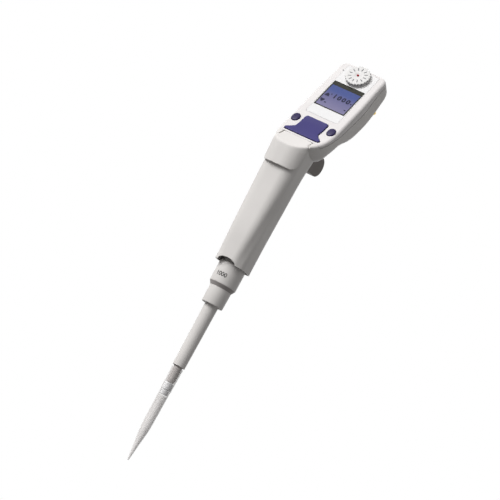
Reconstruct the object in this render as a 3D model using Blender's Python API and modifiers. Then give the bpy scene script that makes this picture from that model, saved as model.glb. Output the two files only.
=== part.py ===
# Electronic single-channel pipette with a filter tip, built as an assembly.
# Heights run up the pipette's own axis, from the open end of the tip. The front of the handle faces -Y.
# The finished model stands about the rest face under the finger hook, which is the part's origin.
import math

import bmesh
import bpy
from mathutils import Matrix, Vector

# Clearance between pieces that touch or slide
GAP = 0.0003

# Pipette tip
TIP_CONE_LENGTH = 0.0570
TIP_COLLAR_LENGTH = 0.0190
TIP_WALL = 0.0005
TIP_END_RADIUS = 0.00055
TIP_BODY_RADIUS = 0.00375
TIP_COLLAR_RADIUS = 0.0043
TIP_RIM = 0.0002
FILTER_UPPER_LENGTH = 0.0054
FILTER_LOWER_LENGTH = 0.0033

# Tip cone and its spring
CONE_ENTRY = 0.0120
CONE_BORE_RADIUS = 0.0010
CONE_FLANGE_HEIGHT = 0.0020
CONE_STEM_RADIUS = 0.0026
CONE_TRAVEL = 0.0015
CONE_SPRING_LENGTH = 0.0078
CONE_SPRING_WIRE = 0.0005
CONE_SPRING_TURNS = 4

# Ejector sleeve
SLEEVE_STANDOFF = 0.0012
SLEEVE_TUBE_LENGTH = 0.0508
SLEEVE_TUBE_RADIUS = 0.0049
SLEEVE_TUBE_FLARE = 0.00035
SLEEVE_WALL = 0.0006
DRUM_LENGTH = 0.0140
DRUM_RADIUS = 0.0084
DRUM_FLARE = 0.00015
DRUM_WALL = 0.0011
SHOULDER_HEIGHT = 0.0035
COLLAR_RADIUS = 0.0105
COLLAR_WALL = 0.0012
NECK_RADIUS = 0.0088
COLLAR_SHOWN = 0.0145
COLLAR_HIDDEN = 0.0160
EJECT_TRAVEL = 0.0090

# Piston drive
PISTON_RADIUS = 0.0040
PISTON_TRAVEL = 0.0180
PISTON_LENGTH = 0.0330
CYLINDER_WALL = 0.0022
CYLINDER_SOCKET = 0.0113
FLANGE_RADIUS = 0.0084
FLANGE_HEIGHT = 0.0060
SEAL_HEIGHT = 0.0024
SEAL_WIDTH = 0.0011
SCREW_RADIUS = 0.0015
MOTOR_RADIUS = 0.0080
MOTOR_LENGTH = 0.0240
MOTOR_WALL = 0.0016
ROTOR_RADIUS = 0.0051
CHASSIS_PLATE = 0.0037

# Handle, as (share of its length, half-width, front, back)
HANDLE_LENGTH = 0.0800
HANDLE_WALL = 0.0014
HANDLE_CORNER = 0.0090
HANDLE_FLUTE = 0.0007
HANDLE_SECTIONS = [
    (0.00, 0.0125, 0.0146, 0.0123),
    (0.06, 0.0126, 0.0149, 0.0119),
    (0.34, 0.0134, 0.0163, 0.0102),
    (0.70, 0.0138, 0.0165, 0.0100),
    (1.00, 0.0141, 0.0167, 0.0101),
    (1.20, 0.0146, 0.0171, 0.0115),
]
NOTCH_WIDTH = 0.0120
NOTCH_HEIGHT = 0.0025

# Head: its middle seen from the front of the ejector edge, and its tilt
HEAD_BACK = 0.0204
HEAD_RISE = 0.0696
HEAD_TILT = math.radians(28.05)
HEAD_HALF_WIDTH = 0.0212
HEAD_TOP = 0.0345
HEAD_LIP = -0.0644
HEAD_WALL = 0.0018
HEAD_EDGE = 0.0025
FACE_BEND = -0.0270
FACE_DROP = 0.01007
FACE_END = -0.0300
TOP_ROUND = 0.0125
SIDE_TAPER = 0.0009
HEAD_DEPTHS = [
    (-0.0644, -0.0040), (-0.0600, 0.0040), (-0.0550, 0.0130), (-0.0500, 0.0168), (-0.0420, 0.0159),
    (-0.0350, 0.0161), (-0.0270, 0.0170), (-0.0200, 0.0190), (-0.0130, 0.0203), (-0.0030, 0.0208),
    (0.0050, 0.0208), (0.0130, 0.0199), (0.0210, 0.0186), (0.0290, 0.0163), (0.0345, 0.0128),
]
BACK_CORNERS = [(-0.0644, 0.0030), (-0.0500, 0.0135), (-0.0350, 0.0095), (-0.0200, 0.0048), (0.0000, 0.0040),
                (0.0345, 0.0040)]
SEAM_DEPTHS = [(-0.0505, -0.0010), (-0.0420, 0.0016), (-0.0330, 0.0036), (-0.0250, 0.0050), (-0.0120, 0.0060),
               (0.0000, 0.0064), (0.0100, 0.0056), (0.0200, 0.0042), (0.0345, 0.0038)]

# Ejector button
BUTTON_PROUD = 0.0018
BUTTON_SIDE = -0.0120
BUTTON_CORNER = 0.0062
BUTTON_CAP = 0.0032
BUTTON_SPLIT = -0.0505
ROOF_OVERRUN = 0.0040
TONGUE_HALF_WIDTH = 0.0130
ROD_RADIUS = 0.0012
BOSS_RADIUS = 0.0028
BOSS_LENGTH = 0.0070
EJECT_SPRING_LENGTH = 0.0170
EJECT_SPRING_WIRE = 0.0005
EJECT_SPRING_TURNS = 8

# Face of the head
PANEL_BOTTOM = -0.0228
PANEL_TOP = 0.0316
PANEL_THICKNESS = 0.0007
DISPLAY_HALF = 0.0137
DISPLAY_MARGIN = 0.0004
DISPLAY_DEPTH = 0.0041
BOARD_THICKNESS = 0.0016
DIAL_HEIGHT = 0.0240
DIAL_RADIUS = 0.0097
DIAL_PROUD = 0.0030
DIAL_THICKNESS = 0.0014
DIAL_FOOT_RADIUS = 0.0066
DIAL_NOTCHES = 28
DIAL_NOTCH_DEPTH = 0.00035
DIAL_SHAFT_RADIUS = 0.0029
CAP_RADIUS = 0.0009
KEY_X = 0.0160
KEY_HEIGHT = -0.0325
KEY_HALF_WIDTH = 0.00315
KEY_HALF_LENGTH = 0.0040
KEY_PROUD = 0.0008
KEY_TRAVEL = 0.0008
ROCKER_TOP = -0.0270
ROCKER_BOTTOM = -0.0482
ROCKER_HALF_WIDTH = 0.0100
ROCKER_WING = 0.0156
ROCKER_PIVOT = -0.0400
ROCKER_PIVOT_DEPTH = 0.0036
ROCKER_THICKNESS = 0.0036
ROCKER_PROUD = 0.0010
ROCKER_CLEARANCE = 0.00045
PIN_RADIUS = 0.0010
SWITCH_HALF = 0.0026

# Back of the head
BATTERY_BOTTOM = -0.0120
BATTERY_TOP = 0.0210
BATTERY_HALF_WIDTH = 0.0112
BATTERY_THICKNESS = 0.0072
CONTACT_X = 0.0168
CONTACT_HEIGHT = 0.0170
CONTACT_RADIUS = 0.0019
CONTACT_PROUD = 0.0009

# Finger hook
HOOK_HALF_WIDTH = 0.0075
HOOK_REACH = 0.0373
HOOK_REST_DROP = 0.0596
HOOK_THICKNESS = 0.0155
HOOK_SEAT = 0.0240
SCREW_HEAD_RADIUS = 0.0026

# Heights worked out from the stack of pieces
TIP_TOP = TIP_CONE_LENGTH + TIP_COLLAR_LENGTH
SLEEVE_BOTTOM = TIP_TOP + SLEEVE_STANDOFF
DRUM_BOTTOM = SLEEVE_BOTTOM + SLEEVE_TUBE_LENGTH
SHOULDER_BOTTOM = DRUM_BOTTOM + DRUM_LENGTH
COLLAR_BOTTOM = SHOULDER_BOTTOM + SHOULDER_HEIGHT
HANDLE_BOTTOM = COLLAR_BOTTOM + COLLAR_SHOWN
COLLAR_TOP = HANDLE_BOTTOM + COLLAR_HIDDEN
BUTTON_BOTTOM = HANDLE_BOTTOM + HANDLE_LENGTH
HEAD_CENTRE = Vector((0, HEAD_BACK, BUTTON_BOTTOM + HEAD_RISE))
HOOK_REST = HEAD_CENTRE.z - HOOK_REST_DROP

HANDLE_REACH = HANDLE_BOTTOM + HANDLE_LENGTH * 1.4
PANEL_HALF_WIDTH = DISPLAY_HALF + DISPLAY_MARGIN
CUT_CLEAR = 0.0030
CUT_PAST = 0.0010
ARC_STEPS = 6
INNER_STEPS = 4
HEAD_STATIONS = 28
INNER_STATIONS = 16
TURN_STEPS = 32
COIL_STEPS = 10
COLOURS = {
    'housing': (0.72, 0.70, 0.68, 1, 0.45, 0),
    'cover': (0.85, 0.83, 0.83, 1, 0.4, 0),
    'white': (0.9, 0.9, 0.9, 1, 0.35, 0),
    'clear': (0.85, 0.88, 0.9, 0.3, 0.1, 0),
    'frosted': (0.85, 0.86, 0.85, 0.5, 0.3, 0),
    'display': (0.33, 0.35, 0.62, 1, 0.3, 0),
    'board': (0.05, 0.25, 0.12, 1, 0.5, 0),
    'blue': (0.06, 0.05, 0.25, 1, 0.35, 0),
    'hook': (0.12, 0.11, 0.10, 1, 0.6, 0),
    'gold': (0.8, 0.6, 0.2, 1, 0.25, 1),
    'steel': (0.6, 0.6, 0.62, 1, 0.3, 1),
    'dark': (0.05, 0.05, 0.055, 1, 0.5, 0),
    'red': (0.3, 0.03, 0.05, 1, 0.4, 0),
    'filter': (0.95, 0.95, 0.95, 1, 0.9, 0),
    'cone': (0.35, 0.36, 0.37, 1, 0.4, 0),
}

for old in list(bpy.data.objects):
    bpy.data.objects.remove(old, do_unlink=True)
parts = bpy.data.collections.new('electronic_pipette')
cutters = bpy.data.collections.new('cutters')
bpy.context.scene.collection.children.link(parts)
bpy.context.scene.collection.children.link(cutters)


def material(slot):
    """One Principled material for each finish."""
    found = bpy.data.materials.get(slot)
    if found:
        return found
    red, green, blue, alpha, roughness, metallic = COLOURS[slot]
    made = bpy.data.materials.new(slot)
    made.use_nodes = True
    shader = made.node_tree.nodes['Principled BSDF']
    shader.inputs['Base Color'].default_value = (red, green, blue, 1)
    shader.inputs['Alpha'].default_value = alpha
    shader.inputs['Roughness'].default_value = roughness
    shader.inputs['Metallic'].default_value = metallic
    return made


def empty(name, location=(0, 0, 0), parent=None, tilt=0.0):
    made = bpy.data.objects.new(name, None)
    made.location = location
    made.rotation_euler.x = tilt
    made.parent = parent
    parts.objects.link(made)
    return made


def place(name, mesh, parent, slot=None, location=(0, 0, 0), rotation=(0, 0, 0)):
    """Puts a mesh in the model as a piece, or as a cutter where it has no finish."""
    made = bpy.data.objects.new(name, mesh)
    made.location = location
    made.rotation_euler = rotation
    made.parent = parent
    if slot:
        mesh.materials.append(material(slot))
        parts.objects.link(made)
    else:
        made.hide_render = True
        made.display_type = 'WIRE'
        cutters.objects.link(made)
    return made


def smooth(mesh, angle=35):
    mesh.shade_smooth()
    mesh.set_sharp_from_angle(angle=math.radians(angle))


def cut(piece, cutter, operation='DIFFERENCE'):
    """A live Boolean on a piece."""
    modifier = piece.modifiers.new(operation.lower(), 'BOOLEAN')
    modifier.operation = operation
    modifier.object = cutter
    return piece


def round_edges(piece, width, segments=2, angle=35):
    modifier = piece.modifiers.new('rounding', 'BEVEL')
    modifier.width = width
    modifier.segments = segments
    modifier.limit_method = 'ANGLE'
    modifier.angle_limit = math.radians(angle)


def turned(name, profile, parent, slot=None, steps=TURN_STEPS, closed=True, location=(0, 0, 0),
           rotation=(0, 0, 0)):
    """Turns a profile of (radius, height) about +Z; its outer side runs from top to bottom."""
    mesh = bpy.data.meshes.new(name)
    count = len(profile)
    edges = [(i, i + 1) for i in range(count - 1)]
    if closed:
        edges.append((count - 1, 0))
    mesh.from_pydata([(radius, 0, height) for radius, height in profile], edges, [])
    made = place(name, mesh, parent, slot, location, rotation)
    modifier = made.modifiers.new('turning', 'SCREW')
    modifier.steps = steps
    modifier.render_steps = steps
    modifier.use_merge_vertices = True
    modifier.merge_threshold = 0.00001
    modifier.use_smooth_shade = False
    return made


def disc(name, radius, low, high, parent, slot=None, steps=TURN_STEPS, location=(0, 0, 0), rotation=(0, 0, 0)):
    return turned(name, [(0, high), (radius, high), (radius, low), (0, low)], parent, slot, steps, False,
                  location, rotation)


def block(name, low, high, parent, slot=None):
    """A box between two corners."""
    low = Vector(low)
    high = Vector(high)
    work = bmesh.new()
    bmesh.ops.create_cube(work, size=1)
    size = high - low
    bmesh.ops.scale(work, vec=size, verts=work.verts)
    mesh = bpy.data.meshes.new(name)
    work.to_mesh(mesh)
    work.free()
    return place(name, mesh, parent, slot, (low + high) / 2)


FACING = (math.radians(90), 0, 0)
SIDEWAYS = (math.radians(90), 0, math.radians(90))
INWARD = (math.radians(-90), 0, 0)


def plate(name, outline, low, high, parent, slot=None, rotation=(0, 0, 0)):
    """A flat outline with a thickness, from a filled 2D curve, as a mesh."""
    curve = bpy.data.curves.new(name, 'CURVE')
    curve.dimensions = '2D'
    curve.fill_mode = 'BOTH'
    curve.extrude = (high - low) / 2
    spline = curve.splines.new('POLY')
    spline.points.add(len(outline) - 1)
    for point, (x, y) in zip(spline.points, outline):
        point.co = (x, y, 0, 1)
    spline.use_cyclic_u = True
    guide = bpy.data.objects.new(name + '_outline', curve)
    cutters.objects.link(guide)
    mesh = bpy.data.meshes.new_from_object(guide.evaluated_get(bpy.context.evaluated_depsgraph_get()))
    bpy.data.objects.remove(guide, do_unlink=True)
    work = bmesh.new()
    work.from_mesh(mesh)
    bmesh.ops.remove_doubles(work, verts=work.verts, dist=0.000001)
    bmesh.ops.translate(work, verts=work.verts, vec=(0, 0, (low + high) / 2))
    bmesh.ops.recalc_face_normals(work, faces=work.faces)
    work.to_mesh(mesh)
    work.free()
    mesh.name = name
    return place(name, mesh, parent, slot, (0, 0, 0), rotation)


def coil(name, radius, wire, low, high, turns, parent, slot, location=(0, 0, 0)):
    """A compression spring, as a poly curve with a round bevel."""
    curve = bpy.data.curves.new(name, 'CURVE')
    curve.dimensions = '3D'
    curve.bevel_depth = wire / 2
    curve.bevel_resolution = 1
    curve.use_fill_caps = True
    steps = turns * COIL_STEPS
    spline = curve.splines.new('POLY')
    spline.points.add(steps)
    for index, point in enumerate(spline.points):
        angle = index * math.tau / COIL_STEPS
        height = low + wire / 2 + (high - low - wire) * index / steps
        point.co = (radius * math.cos(angle), radius * math.sin(angle), height, 1)
    made = bpy.data.objects.new(name, curve)
    made.location = location
    made.parent = parent
    curve.materials.append(material(slot))
    parts.objects.link(made)
    return made


def reading(table, at):
    """Reads a list of (place, value) pairs by a straight line between its stations."""
    if at <= table[0][0]:
        return table[0][1]
    for (start, first), (end, last) in zip(table, table[1:]):
        if at <= end:
            share = (at - start) / (end - start)
            return first + (last - first) * share
    return table[-1][1]


def section(half_width, front, back, front_corner, back_corner, flute=0.0, steps=ARC_STEPS):
    """Points round a closed section with rounded corners, from its front, seen from above."""
    room = min(half_width, (back - front) / 2) * 0.98
    near = min(front_corner, room)
    far = min(back_corner, room)
    right = []
    for step in range(steps + 1):
        angle = -math.pi / 2 + step * math.pi / 2 / steps
        right.append((half_width - near + near * math.cos(angle), front + near + near * math.sin(angle)))
    for step in (1, 2, 3):
        share = step / 4
        dip = flute * math.sin(math.pi * share) ** 2
        right.append((half_width - dip, front + near + (back - far - front - near) * share))
    for step in range(steps + 1):
        angle = step * math.pi / 2 / steps
        right.append((half_width - far + far * math.cos(angle), back - far + far * math.sin(angle)))
    return right + [(-x, y) for x, y in reversed(right)]


def loft(name, sections, parent, slot=None):
    """Joins closed sections of equal point counts, each (height, points), with flat ends."""
    work = bmesh.new()
    rings = [[work.verts.new((x, y, height)) for x, y in points] for height, points in sections]
    for lower, upper in zip(rings, rings[1:]):
        for index in range(len(lower)):
            following = (index + 1) % len(lower)
            work.faces.new((lower[index], lower[following], upper[following], upper[index]))
    work.faces.new(list(reversed(rings[0])))
    work.faces.new(rings[-1])
    mesh = bpy.data.meshes.new(name)
    work.to_mesh(mesh)
    work.free()
    return place(name, mesh, parent, slot)


def handle_form(name, grown, parent, slot=None, low=None, high=None):
    """The handle's outer form, grown outwards by a clearance, or inwards by a wall."""
    shares = [share for share, _, _, _ in HANDLE_SECTIONS]
    widths = [(share, width) for share, width, _, _ in HANDLE_SECTIONS]
    fronts = [(share, front) for share, _, front, _ in HANDLE_SECTIONS]
    backs = [(share, back) for share, _, _, back in HANDLE_SECTIONS]
    low = HANDLE_BOTTOM if low is None else low
    high = HANDLE_BOTTOM + HANDLE_LENGTH * shares[-1] if high is None else high
    heights = [low, high] + [HANDLE_BOTTOM + HANDLE_LENGTH * share for share in shares]
    heights = sorted(height for height in set(heights) if low <= height <= high)
    sections = []
    for height in heights:
        share = (height - HANDLE_BOTTOM) / HANDLE_LENGTH
        fade = max(0.0, min(1.0, 1.15 - share)) * min(1.0, max(0.0, share * 8))
        points = section(reading(widths, share) + grown, -reading(fronts, share) - grown,
                         reading(backs, share) + grown, HANDLE_CORNER + grown, HANDLE_CORNER + grown,
                         HANDLE_FLUTE * fade, ARC_STEPS if grown >= 0 else INNER_STEPS)
        sections.append((height, points))
    return loft(name, sections, parent, slot)


def face(height):
    """How far the face stands in front of its flat part, at a height on the head."""
    share = min(0.0, height - FACE_BEND) / (FACE_BEND - HEAD_LIP)
    return FACE_DROP * share * share


def head_width(height):
    """Half-width of the head's outline: flat sides, a rounded top and a half ellipse below."""
    straight = HEAD_TOP - TOP_ROUND
    if height > straight:
        share = min(1.0, (height - straight) / (HEAD_TOP - straight))
        return (HEAD_HALF_WIDTH - SIDE_TAPER) * (1 - share ** 6) ** (1 / 6)
    if height > FACE_END:
        return HEAD_HALF_WIDTH - SIDE_TAPER * max(0.0, height / straight)
    share = min(1.0, (FACE_END - height) / (FACE_END - HEAD_LIP))
    return HEAD_HALF_WIDTH * math.sqrt(1 - share ** 2)


def head_form(name, grown, parent, slot=None):
    """The head's outer form, grown outwards by a clearance, or inwards by a wall."""
    sections = []
    low = HEAD_LIP + 0.0002
    high = HEAD_TOP - 0.0001
    stations = HEAD_STATIONS if grown >= 0 else INNER_STATIONS
    for step in range(stations + 1):
        share = 0.5 - 0.5 * math.cos(math.pi * step / stations)
        blend = 0.4 * share + 0.6 * step / stations
        height = low + (high - low) * blend
        edge = HEAD_EDGE - math.sqrt(max(0.0, HEAD_EDGE ** 2 - max(0.0, height - HEAD_TOP + HEAD_EDGE) ** 2))
        front = -face(height) + 0.7 * edge
        points = section(head_width(height) + grown, front - grown, reading(HEAD_DEPTHS, height) + grown,
                         HEAD_EDGE + max(grown, -HEAD_EDGE * 0.6), reading(BACK_CORNERS, height) + grown, 0.0,
                         ARC_STEPS if grown >= 0 else INNER_STEPS)
        sections.append((height, points))
    first = sections[0]
    last = sections[-1]
    sections[0] = (first[0] - grown, first[1])
    sections[-1] = (last[0] + grown, last[1])
    return loft(name, sections, parent, slot)


def head_point(depth, height):
    """A point on the head's middle plane, as (y, z) along the pipette."""
    return (HEAD_CENTRE.y + depth * math.cos(HEAD_TILT) + height * math.sin(HEAD_TILT),
            HEAD_CENTRE.z - depth * math.sin(HEAD_TILT) + height * math.cos(HEAD_TILT))


def face_line(depth, low, high, count=14):
    """Points behind the face at one depth, on the head's middle plane."""
    heights = [low + (high - low) * step / count for step in range(count + 1)]
    return [(depth - face(height), height) for height in heights]


# Frames: the pipette's axis, and the tilted head
axis = empty('pipette_axis', (0, -HOOK_SEAT, -HOOK_REST))
head = empty('head_axis', HEAD_CENTRE, axis, -HEAD_TILT)

WIDE = 0.03
OUTSIDE = 0.035


def button_zone(name, clearance, drop, parent):
    """The space of the ejector button, seen from the side: a front block and a narrower tongue."""
    side = BUTTON_SIDE + clearance
    low = BUTTON_BOTTOM - clearance
    corner = BUTTON_CORNER
    front = [(-OUTSIDE, low), (side - corner, low)]
    for step in range(1, ARC_STEPS + 1):
        angle = -math.pi / 2 + step * math.pi / 2 / ARC_STEPS
        front.append((side - corner + corner * math.cos(angle), low + corner + corner * math.sin(angle)))
    top = head_point(-face(HEAD_LIP) - 0.01, HEAD_LIP + 0.03)
    front += [(side, top[1]), (-OUTSIDE, top[1])]
    if drop:
        roof = [head_point(*point)
                for point in face_line(BUTTON_CAP, HEAD_LIP - ROOF_OVERRUN, BUTTON_SPLIT + clearance)]
        roof = [(y, z - drop - clearance) for y, z in roof]
        start = roof[0]
        front = [(-OUTSIDE, start[1])] + [(y, z) for y, z in roof if y < side - 0.0002]
        front += [(side, front[-1][1] + 0.0003), (side, top[1]), (-OUTSIDE, top[1])]
    made = plate(name, front, -WIDE, WIDE, parent, None, SIDEWAYS)
    cap = [head_point(*point) for point in face_line(BUTTON_CAP + clearance, HEAD_LIP, BUTTON_SPLIT + clearance)]
    if drop:
        cap = [(y, z - drop) for y, z in cap]
        cap.append((cap[-1][0], cap[-1][1] + drop))
    outer = head_point(-face(BUTTON_SPLIT) - 0.012, BUTTON_SPLIT + clearance)
    cap += [outer, (-OUTSIDE, outer[1]), (-OUTSIDE, cap[0][1])]
    half = TONGUE_HALF_WIDTH + clearance
    tongue = plate(name + '_tongue', cap, -half, half, parent, None, SIDEWAYS)
    return cut(made, tongue, 'UNION')


zone = button_zone('button_zone', 0.0, 0.0, axis)
zone_clear = button_zone('button_zone_clear', GAP, 0.0, axis)
zone_wall = button_zone('button_zone_wall', GAP + HEAD_WALL, 0.0, axis)
well = button_zone('button_well', GAP, EJECT_TRAVEL, axis)
well_wall = button_zone('button_well_wall', GAP + HANDLE_WALL, EJECT_TRAVEL, axis)


def seam_block(name, shift):
    """Everything in front of the seam between the front cover and the rear housing."""
    line = [(reading(SEAM_DEPTHS, height) + shift, height) for height, _ in SEAM_DEPTHS]
    line[0] = (line[0][0], BUTTON_SPLIT - shift)
    outline = [(-OUTSIDE, BUTTON_SPLIT - shift)] + line
    outline += [(line[-1][0], HEAD_TOP + 0.01), (-OUTSIDE, HEAD_TOP + 0.01)]
    return plate(name, outline, -WIDE, WIDE, head, None, SIDEWAYS)


def face_block(name, depth):
    """Everything in front of the face, or of a layer at a depth behind it."""
    line = face_line(depth, HEAD_LIP - 0.012, HEAD_TOP, 24)
    outline = line + [(-OUTSIDE - 0.02, HEAD_TOP), (-OUTSIDE - 0.02, HEAD_LIP - 0.012)]
    return plate(name, outline, -WIDE, WIDE, head, None, SIDEWAYS)


seam_front = seam_block('seam_front', 0.0)
seam_rear = seam_block('seam_rear', GAP)

# Inner spaces of the two shells; the rear one leaves a wall round the button's well
head_inside = cut(head_form('head_inside', -HEAD_WALL, head), zone_wall)
shell_inside = handle_form('shell_inside', -HANDLE_WALL, axis, low=HANDLE_BOTTOM - 0.002, high=HANDLE_REACH - 0.001)
cut(shell_inside, head_form('head_back_inside', -HEAD_WALL, head), 'UNION')
cut(shell_inside, well_wall)

ROD_Y = -COLLAR_RADIUS - 0.0004
BOSS_HEIGHT = HEAD_LIP + 0.0054
boss_top = head_point(BUTTON_CAP - face(BOSS_HEIGHT), BOSS_HEIGHT)[1] + 0.0012
BOARD_FRONT = HEAD_WALL + GAP + DISPLAY_DEPTH + GAP
BOARD_BACK = BOARD_FRONT + BOARD_THICKNESS


def bore(name, radius, low, high, parent, location=(0, 0, 0), rotation=(0, 0, 0)):
    return disc(name, radius, low, high, parent, None, 24, location, rotation)


def rocker_outline(clearance):
    """The rocker's outline: a block with a waist and two wings below it."""
    half = ROCKER_HALF_WIDTH + clearance
    wing = ROCKER_WING + clearance
    top = ROCKER_TOP + clearance
    bottom = ROCKER_BOTTOM - clearance
    corner = 0.002
    right = [(half - corner, top)]
    for step in (1, 2, 3):
        angle = math.pi / 2 - step * math.pi / 6
        right.append((half - corner + corner * math.cos(angle), top - corner + corner * math.sin(angle)))
    for step in range(6):
        share = step / 5
        right.append((half + (wing - half) * share ** 1.5,
                      ROCKER_PIVOT + (ROCKER_BOTTOM + 0.0022 - ROCKER_PIVOT) * share))
    right.append((wing - 0.0008, bottom + 0.0006))
    right.append((wing - 0.0024, bottom))
    return right + [(-x, y) for x, y in reversed(right)]


def oval(half_width, half_length, count=24):
    return [(half_width * math.cos(math.tau * step / count), half_length * math.sin(math.tau * step / count))
            for step in range(count)]


def rounded(half_width, low, high, corner):
    """A rectangle with rounded corners, as an outline."""
    points = []
    for centre_x, centre_y, start in ((half_width - corner, high - corner, 0), (corner - half_width, high - corner, 1),
                                      (corner - half_width, low + corner, 2), (half_width - corner, low + corner, 3)):
        for step in range(4):
            angle = (start + step / 3) * math.pi / 2
            points.append((centre_x + corner * math.cos(angle), centre_y + corner * math.sin(angle)))
    return points


def facing_plate(name, outline, front, back, slot=None, parent=None):
    """A plate parallel to the face, between two depths behind it."""
    return plate(name, outline, -back, -front, parent or head, slot, FACING)


# Rear housing: handle and back of the head
housing = handle_form('rear_housing', 0.0, axis, 'housing', high=HANDLE_REACH)
cut(housing, face_block('housing_top', 0.0005))
cut(housing, head_form('head_outside', 0.0, head), 'UNION')
cut(housing, well)
cut(housing, shell_inside)
cut(housing, seam_rear)
cut(housing, disc('notch', NOTCH_HEIGHT, -0.01, 0.01, axis, None, 24,
                  (0, -HANDLE_SECTIONS[0][2], HANDLE_BOTTOM), FACING))
cutters.objects['notch'].scale = (NOTCH_WIDTH / 2 / NOTCH_HEIGHT, 1, 1)
cut(housing, bore('rod_passage', BOSS_RADIUS + GAP, HANDLE_BOTTOM + HANDLE_LENGTH / 2, boss_top - BOSS_LENGTH + GAP,
                  axis, (0, ROD_Y, 0)))
DOOR_CORNER = 0.0020
DOOR_START = BOARD_BACK + 0.0020
battery_opening = facing_plate('battery_opening', rounded(BATTERY_HALF_WIDTH + 2 * GAP, BATTERY_BOTTOM - GAP,
                                                          BATTERY_TOP + GAP, DOOR_CORNER), DOOR_START, WIDE)
cut(housing, battery_opening)

# Battery cover: the piece of the head's back that fills the opening
battery_cover_axis = empty('battery_cover_axis', (0, 0, 0), head)
battery_cover = head_form('battery_cover', 0.0, battery_cover_axis, 'housing')
battery_door = facing_plate('battery_door', rounded(BATTERY_HALF_WIDTH + GAP, BATTERY_BOTTOM, BATTERY_TOP,
                                                    DOOR_CORNER - GAP), DOOR_START, WIDE)
cut(battery_cover, battery_door, 'INTERSECT')
cut(battery_cover, head_form('battery_cover_inside', -HEAD_WALL, head))

battery = facing_plate('battery', rounded(BATTERY_HALF_WIDTH - GAP, BATTERY_BOTTOM + GAP, BATTERY_TOP - GAP, 0.002),
                       BOARD_BACK + GAP, BOARD_BACK + GAP + BATTERY_THICKNESS, 'dark')

# Front cover
cover = cut(head_form('head_front_cover', 0.0, head, 'cover'), seam_front, 'INTERSECT')
cut(cover, zone_clear)
cut(cover, head_inside)
cut(cover, facing_plate('panel_recess', rounded(PANEL_HALF_WIDTH + GAP, PANEL_BOTTOM - GAP, PANEL_TOP + GAP, 0.0015),
                        -CUT_CLEAR, PANEL_THICKNESS + GAP))
display_hole = rounded(DISPLAY_HALF, -DISPLAY_HALF, DISPLAY_HALF, 0.0006)
cut(cover, facing_plate('display_opening', display_hole, -CUT_CLEAR, HEAD_WALL + CUT_PAST))
cut(cover, bore('dial_passage', DIAL_SHAFT_RADIUS + GAP, -BOARD_FRONT, BOARD_FRONT, head, (0, 0, DIAL_HEIGHT), FACING))
rocker_front = -face(BUTTON_SPLIT) - CUT_CLEAR
cut(cover, facing_plate('rocker_opening', rocker_outline(ROCKER_CLEARANCE), rocker_front, BOARD_FRONT))

panel = facing_plate('face_panel', rounded(PANEL_HALF_WIDTH, PANEL_BOTTOM, PANEL_TOP, 0.0012), 0.0,
                     PANEL_THICKNESS, 'white')
cut(panel, facing_plate('panel_window', display_hole, -CUT_CLEAR, CUT_CLEAR))
cut(panel, bore('panel_dial_passage', DIAL_SHAFT_RADIUS + GAP, -CUT_CLEAR, CUT_CLEAR, head, (0, 0, DIAL_HEIGHT),
                FACING))

facing_plate('display_window', rounded(DISPLAY_HALF - GAP, -DISPLAY_HALF + GAP, DISPLAY_HALF - GAP, 0.0005),
             0.0, HEAD_WALL, 'clear')
facing_plate('display_module', rounded(DISPLAY_HALF + 0.0013, -DISPLAY_HALF - 0.0018, DISPLAY_HALF + 0.0018, 0.001),
             HEAD_WALL + GAP, HEAD_WALL + GAP + DISPLAY_DEPTH, 'display')

# Main board: full width beside the keys, tapered below them to the narrowing head
board_half = HEAD_HALF_WIDTH - HEAD_WALL - 0.0016
board_right = [(board_half - 0.003, PANEL_TOP - 0.0010), (board_half - 0.0006, PANEL_TOP - 0.0050),
               (board_half, KEY_HEIGHT - KEY_HALF_LENGTH), (0.0105, -0.0475)]
facing_plate('main_board', board_right + [(-x, y) for x, y in reversed(board_right)], BOARD_FRONT, BOARD_BACK,
             'board')

# Selection dial with its shaft, cap and encoder
dial_axis = empty('dial_axis', (0, 0, DIAL_HEIGHT), head)
dial_outline = []
for step in range(DIAL_NOTCHES * 4):
    wave = DIAL_NOTCH_DEPTH * (0.5 - 0.5 * math.cos(math.tau * step / 4))
    angle = math.tau * step / (DIAL_NOTCHES * 4)
    dial_outline.append(((DIAL_RADIUS - wave) * math.cos(angle), (DIAL_RADIUS - wave) * math.sin(angle)))
dial = plate('selection_dial', dial_outline, GAP + DIAL_PROUD - DIAL_THICKNESS, GAP + DIAL_PROUD, dial_axis, 'white',
             FACING)
cut(dial, disc('dial_foot', DIAL_FOOT_RADIUS, GAP, GAP + DIAL_PROUD - DIAL_THICKNESS / 2, dial_axis, None, TURN_STEPS,
               (0, 0, 0), FACING), 'UNION')
cut(dial, bore('dial_bore', DIAL_SHAFT_RADIUS + GAP, 0.0, GAP + DIAL_PROUD - 0.0010, dial_axis, (0, 0, 0), FACING))
cut(dial, bore('dial_cap_recess', CAP_RADIUS + GAP, DIAL_PROUD - 0.0001, DIAL_PROUD + CUT_PAST, dial_axis, (0, 0, 0),
               FACING))
disc('dial_cap', CAP_RADIUS, DIAL_PROUD + 0.0001, DIAL_PROUD + 0.0006, dial_axis, 'red', 16, (0, 0, 0), FACING)
ENCODER_BORE = 0.0025
disc('dial_shaft', DIAL_SHAFT_RADIUS, -(HEAD_WALL + ENCODER_BORE), DIAL_PROUD - 0.0010, dial_axis, 'steel', 24,
     (0, 0, 0), FACING)
encoder = facing_plate('encoder', rounded(0.0065, DIAL_HEIGHT - 0.0065, DIAL_HEIGHT + 0.0065, 0.0006),
                       HEAD_WALL + GAP, BOARD_FRONT - GAP, 'dark')
cut(encoder, bore('encoder_bore', DIAL_SHAFT_RADIUS + GAP, -(HEAD_WALL + GAP + ENCODER_BORE), 0.01, head,
                  (0, 0, DIAL_HEIGHT), FACING))


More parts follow.
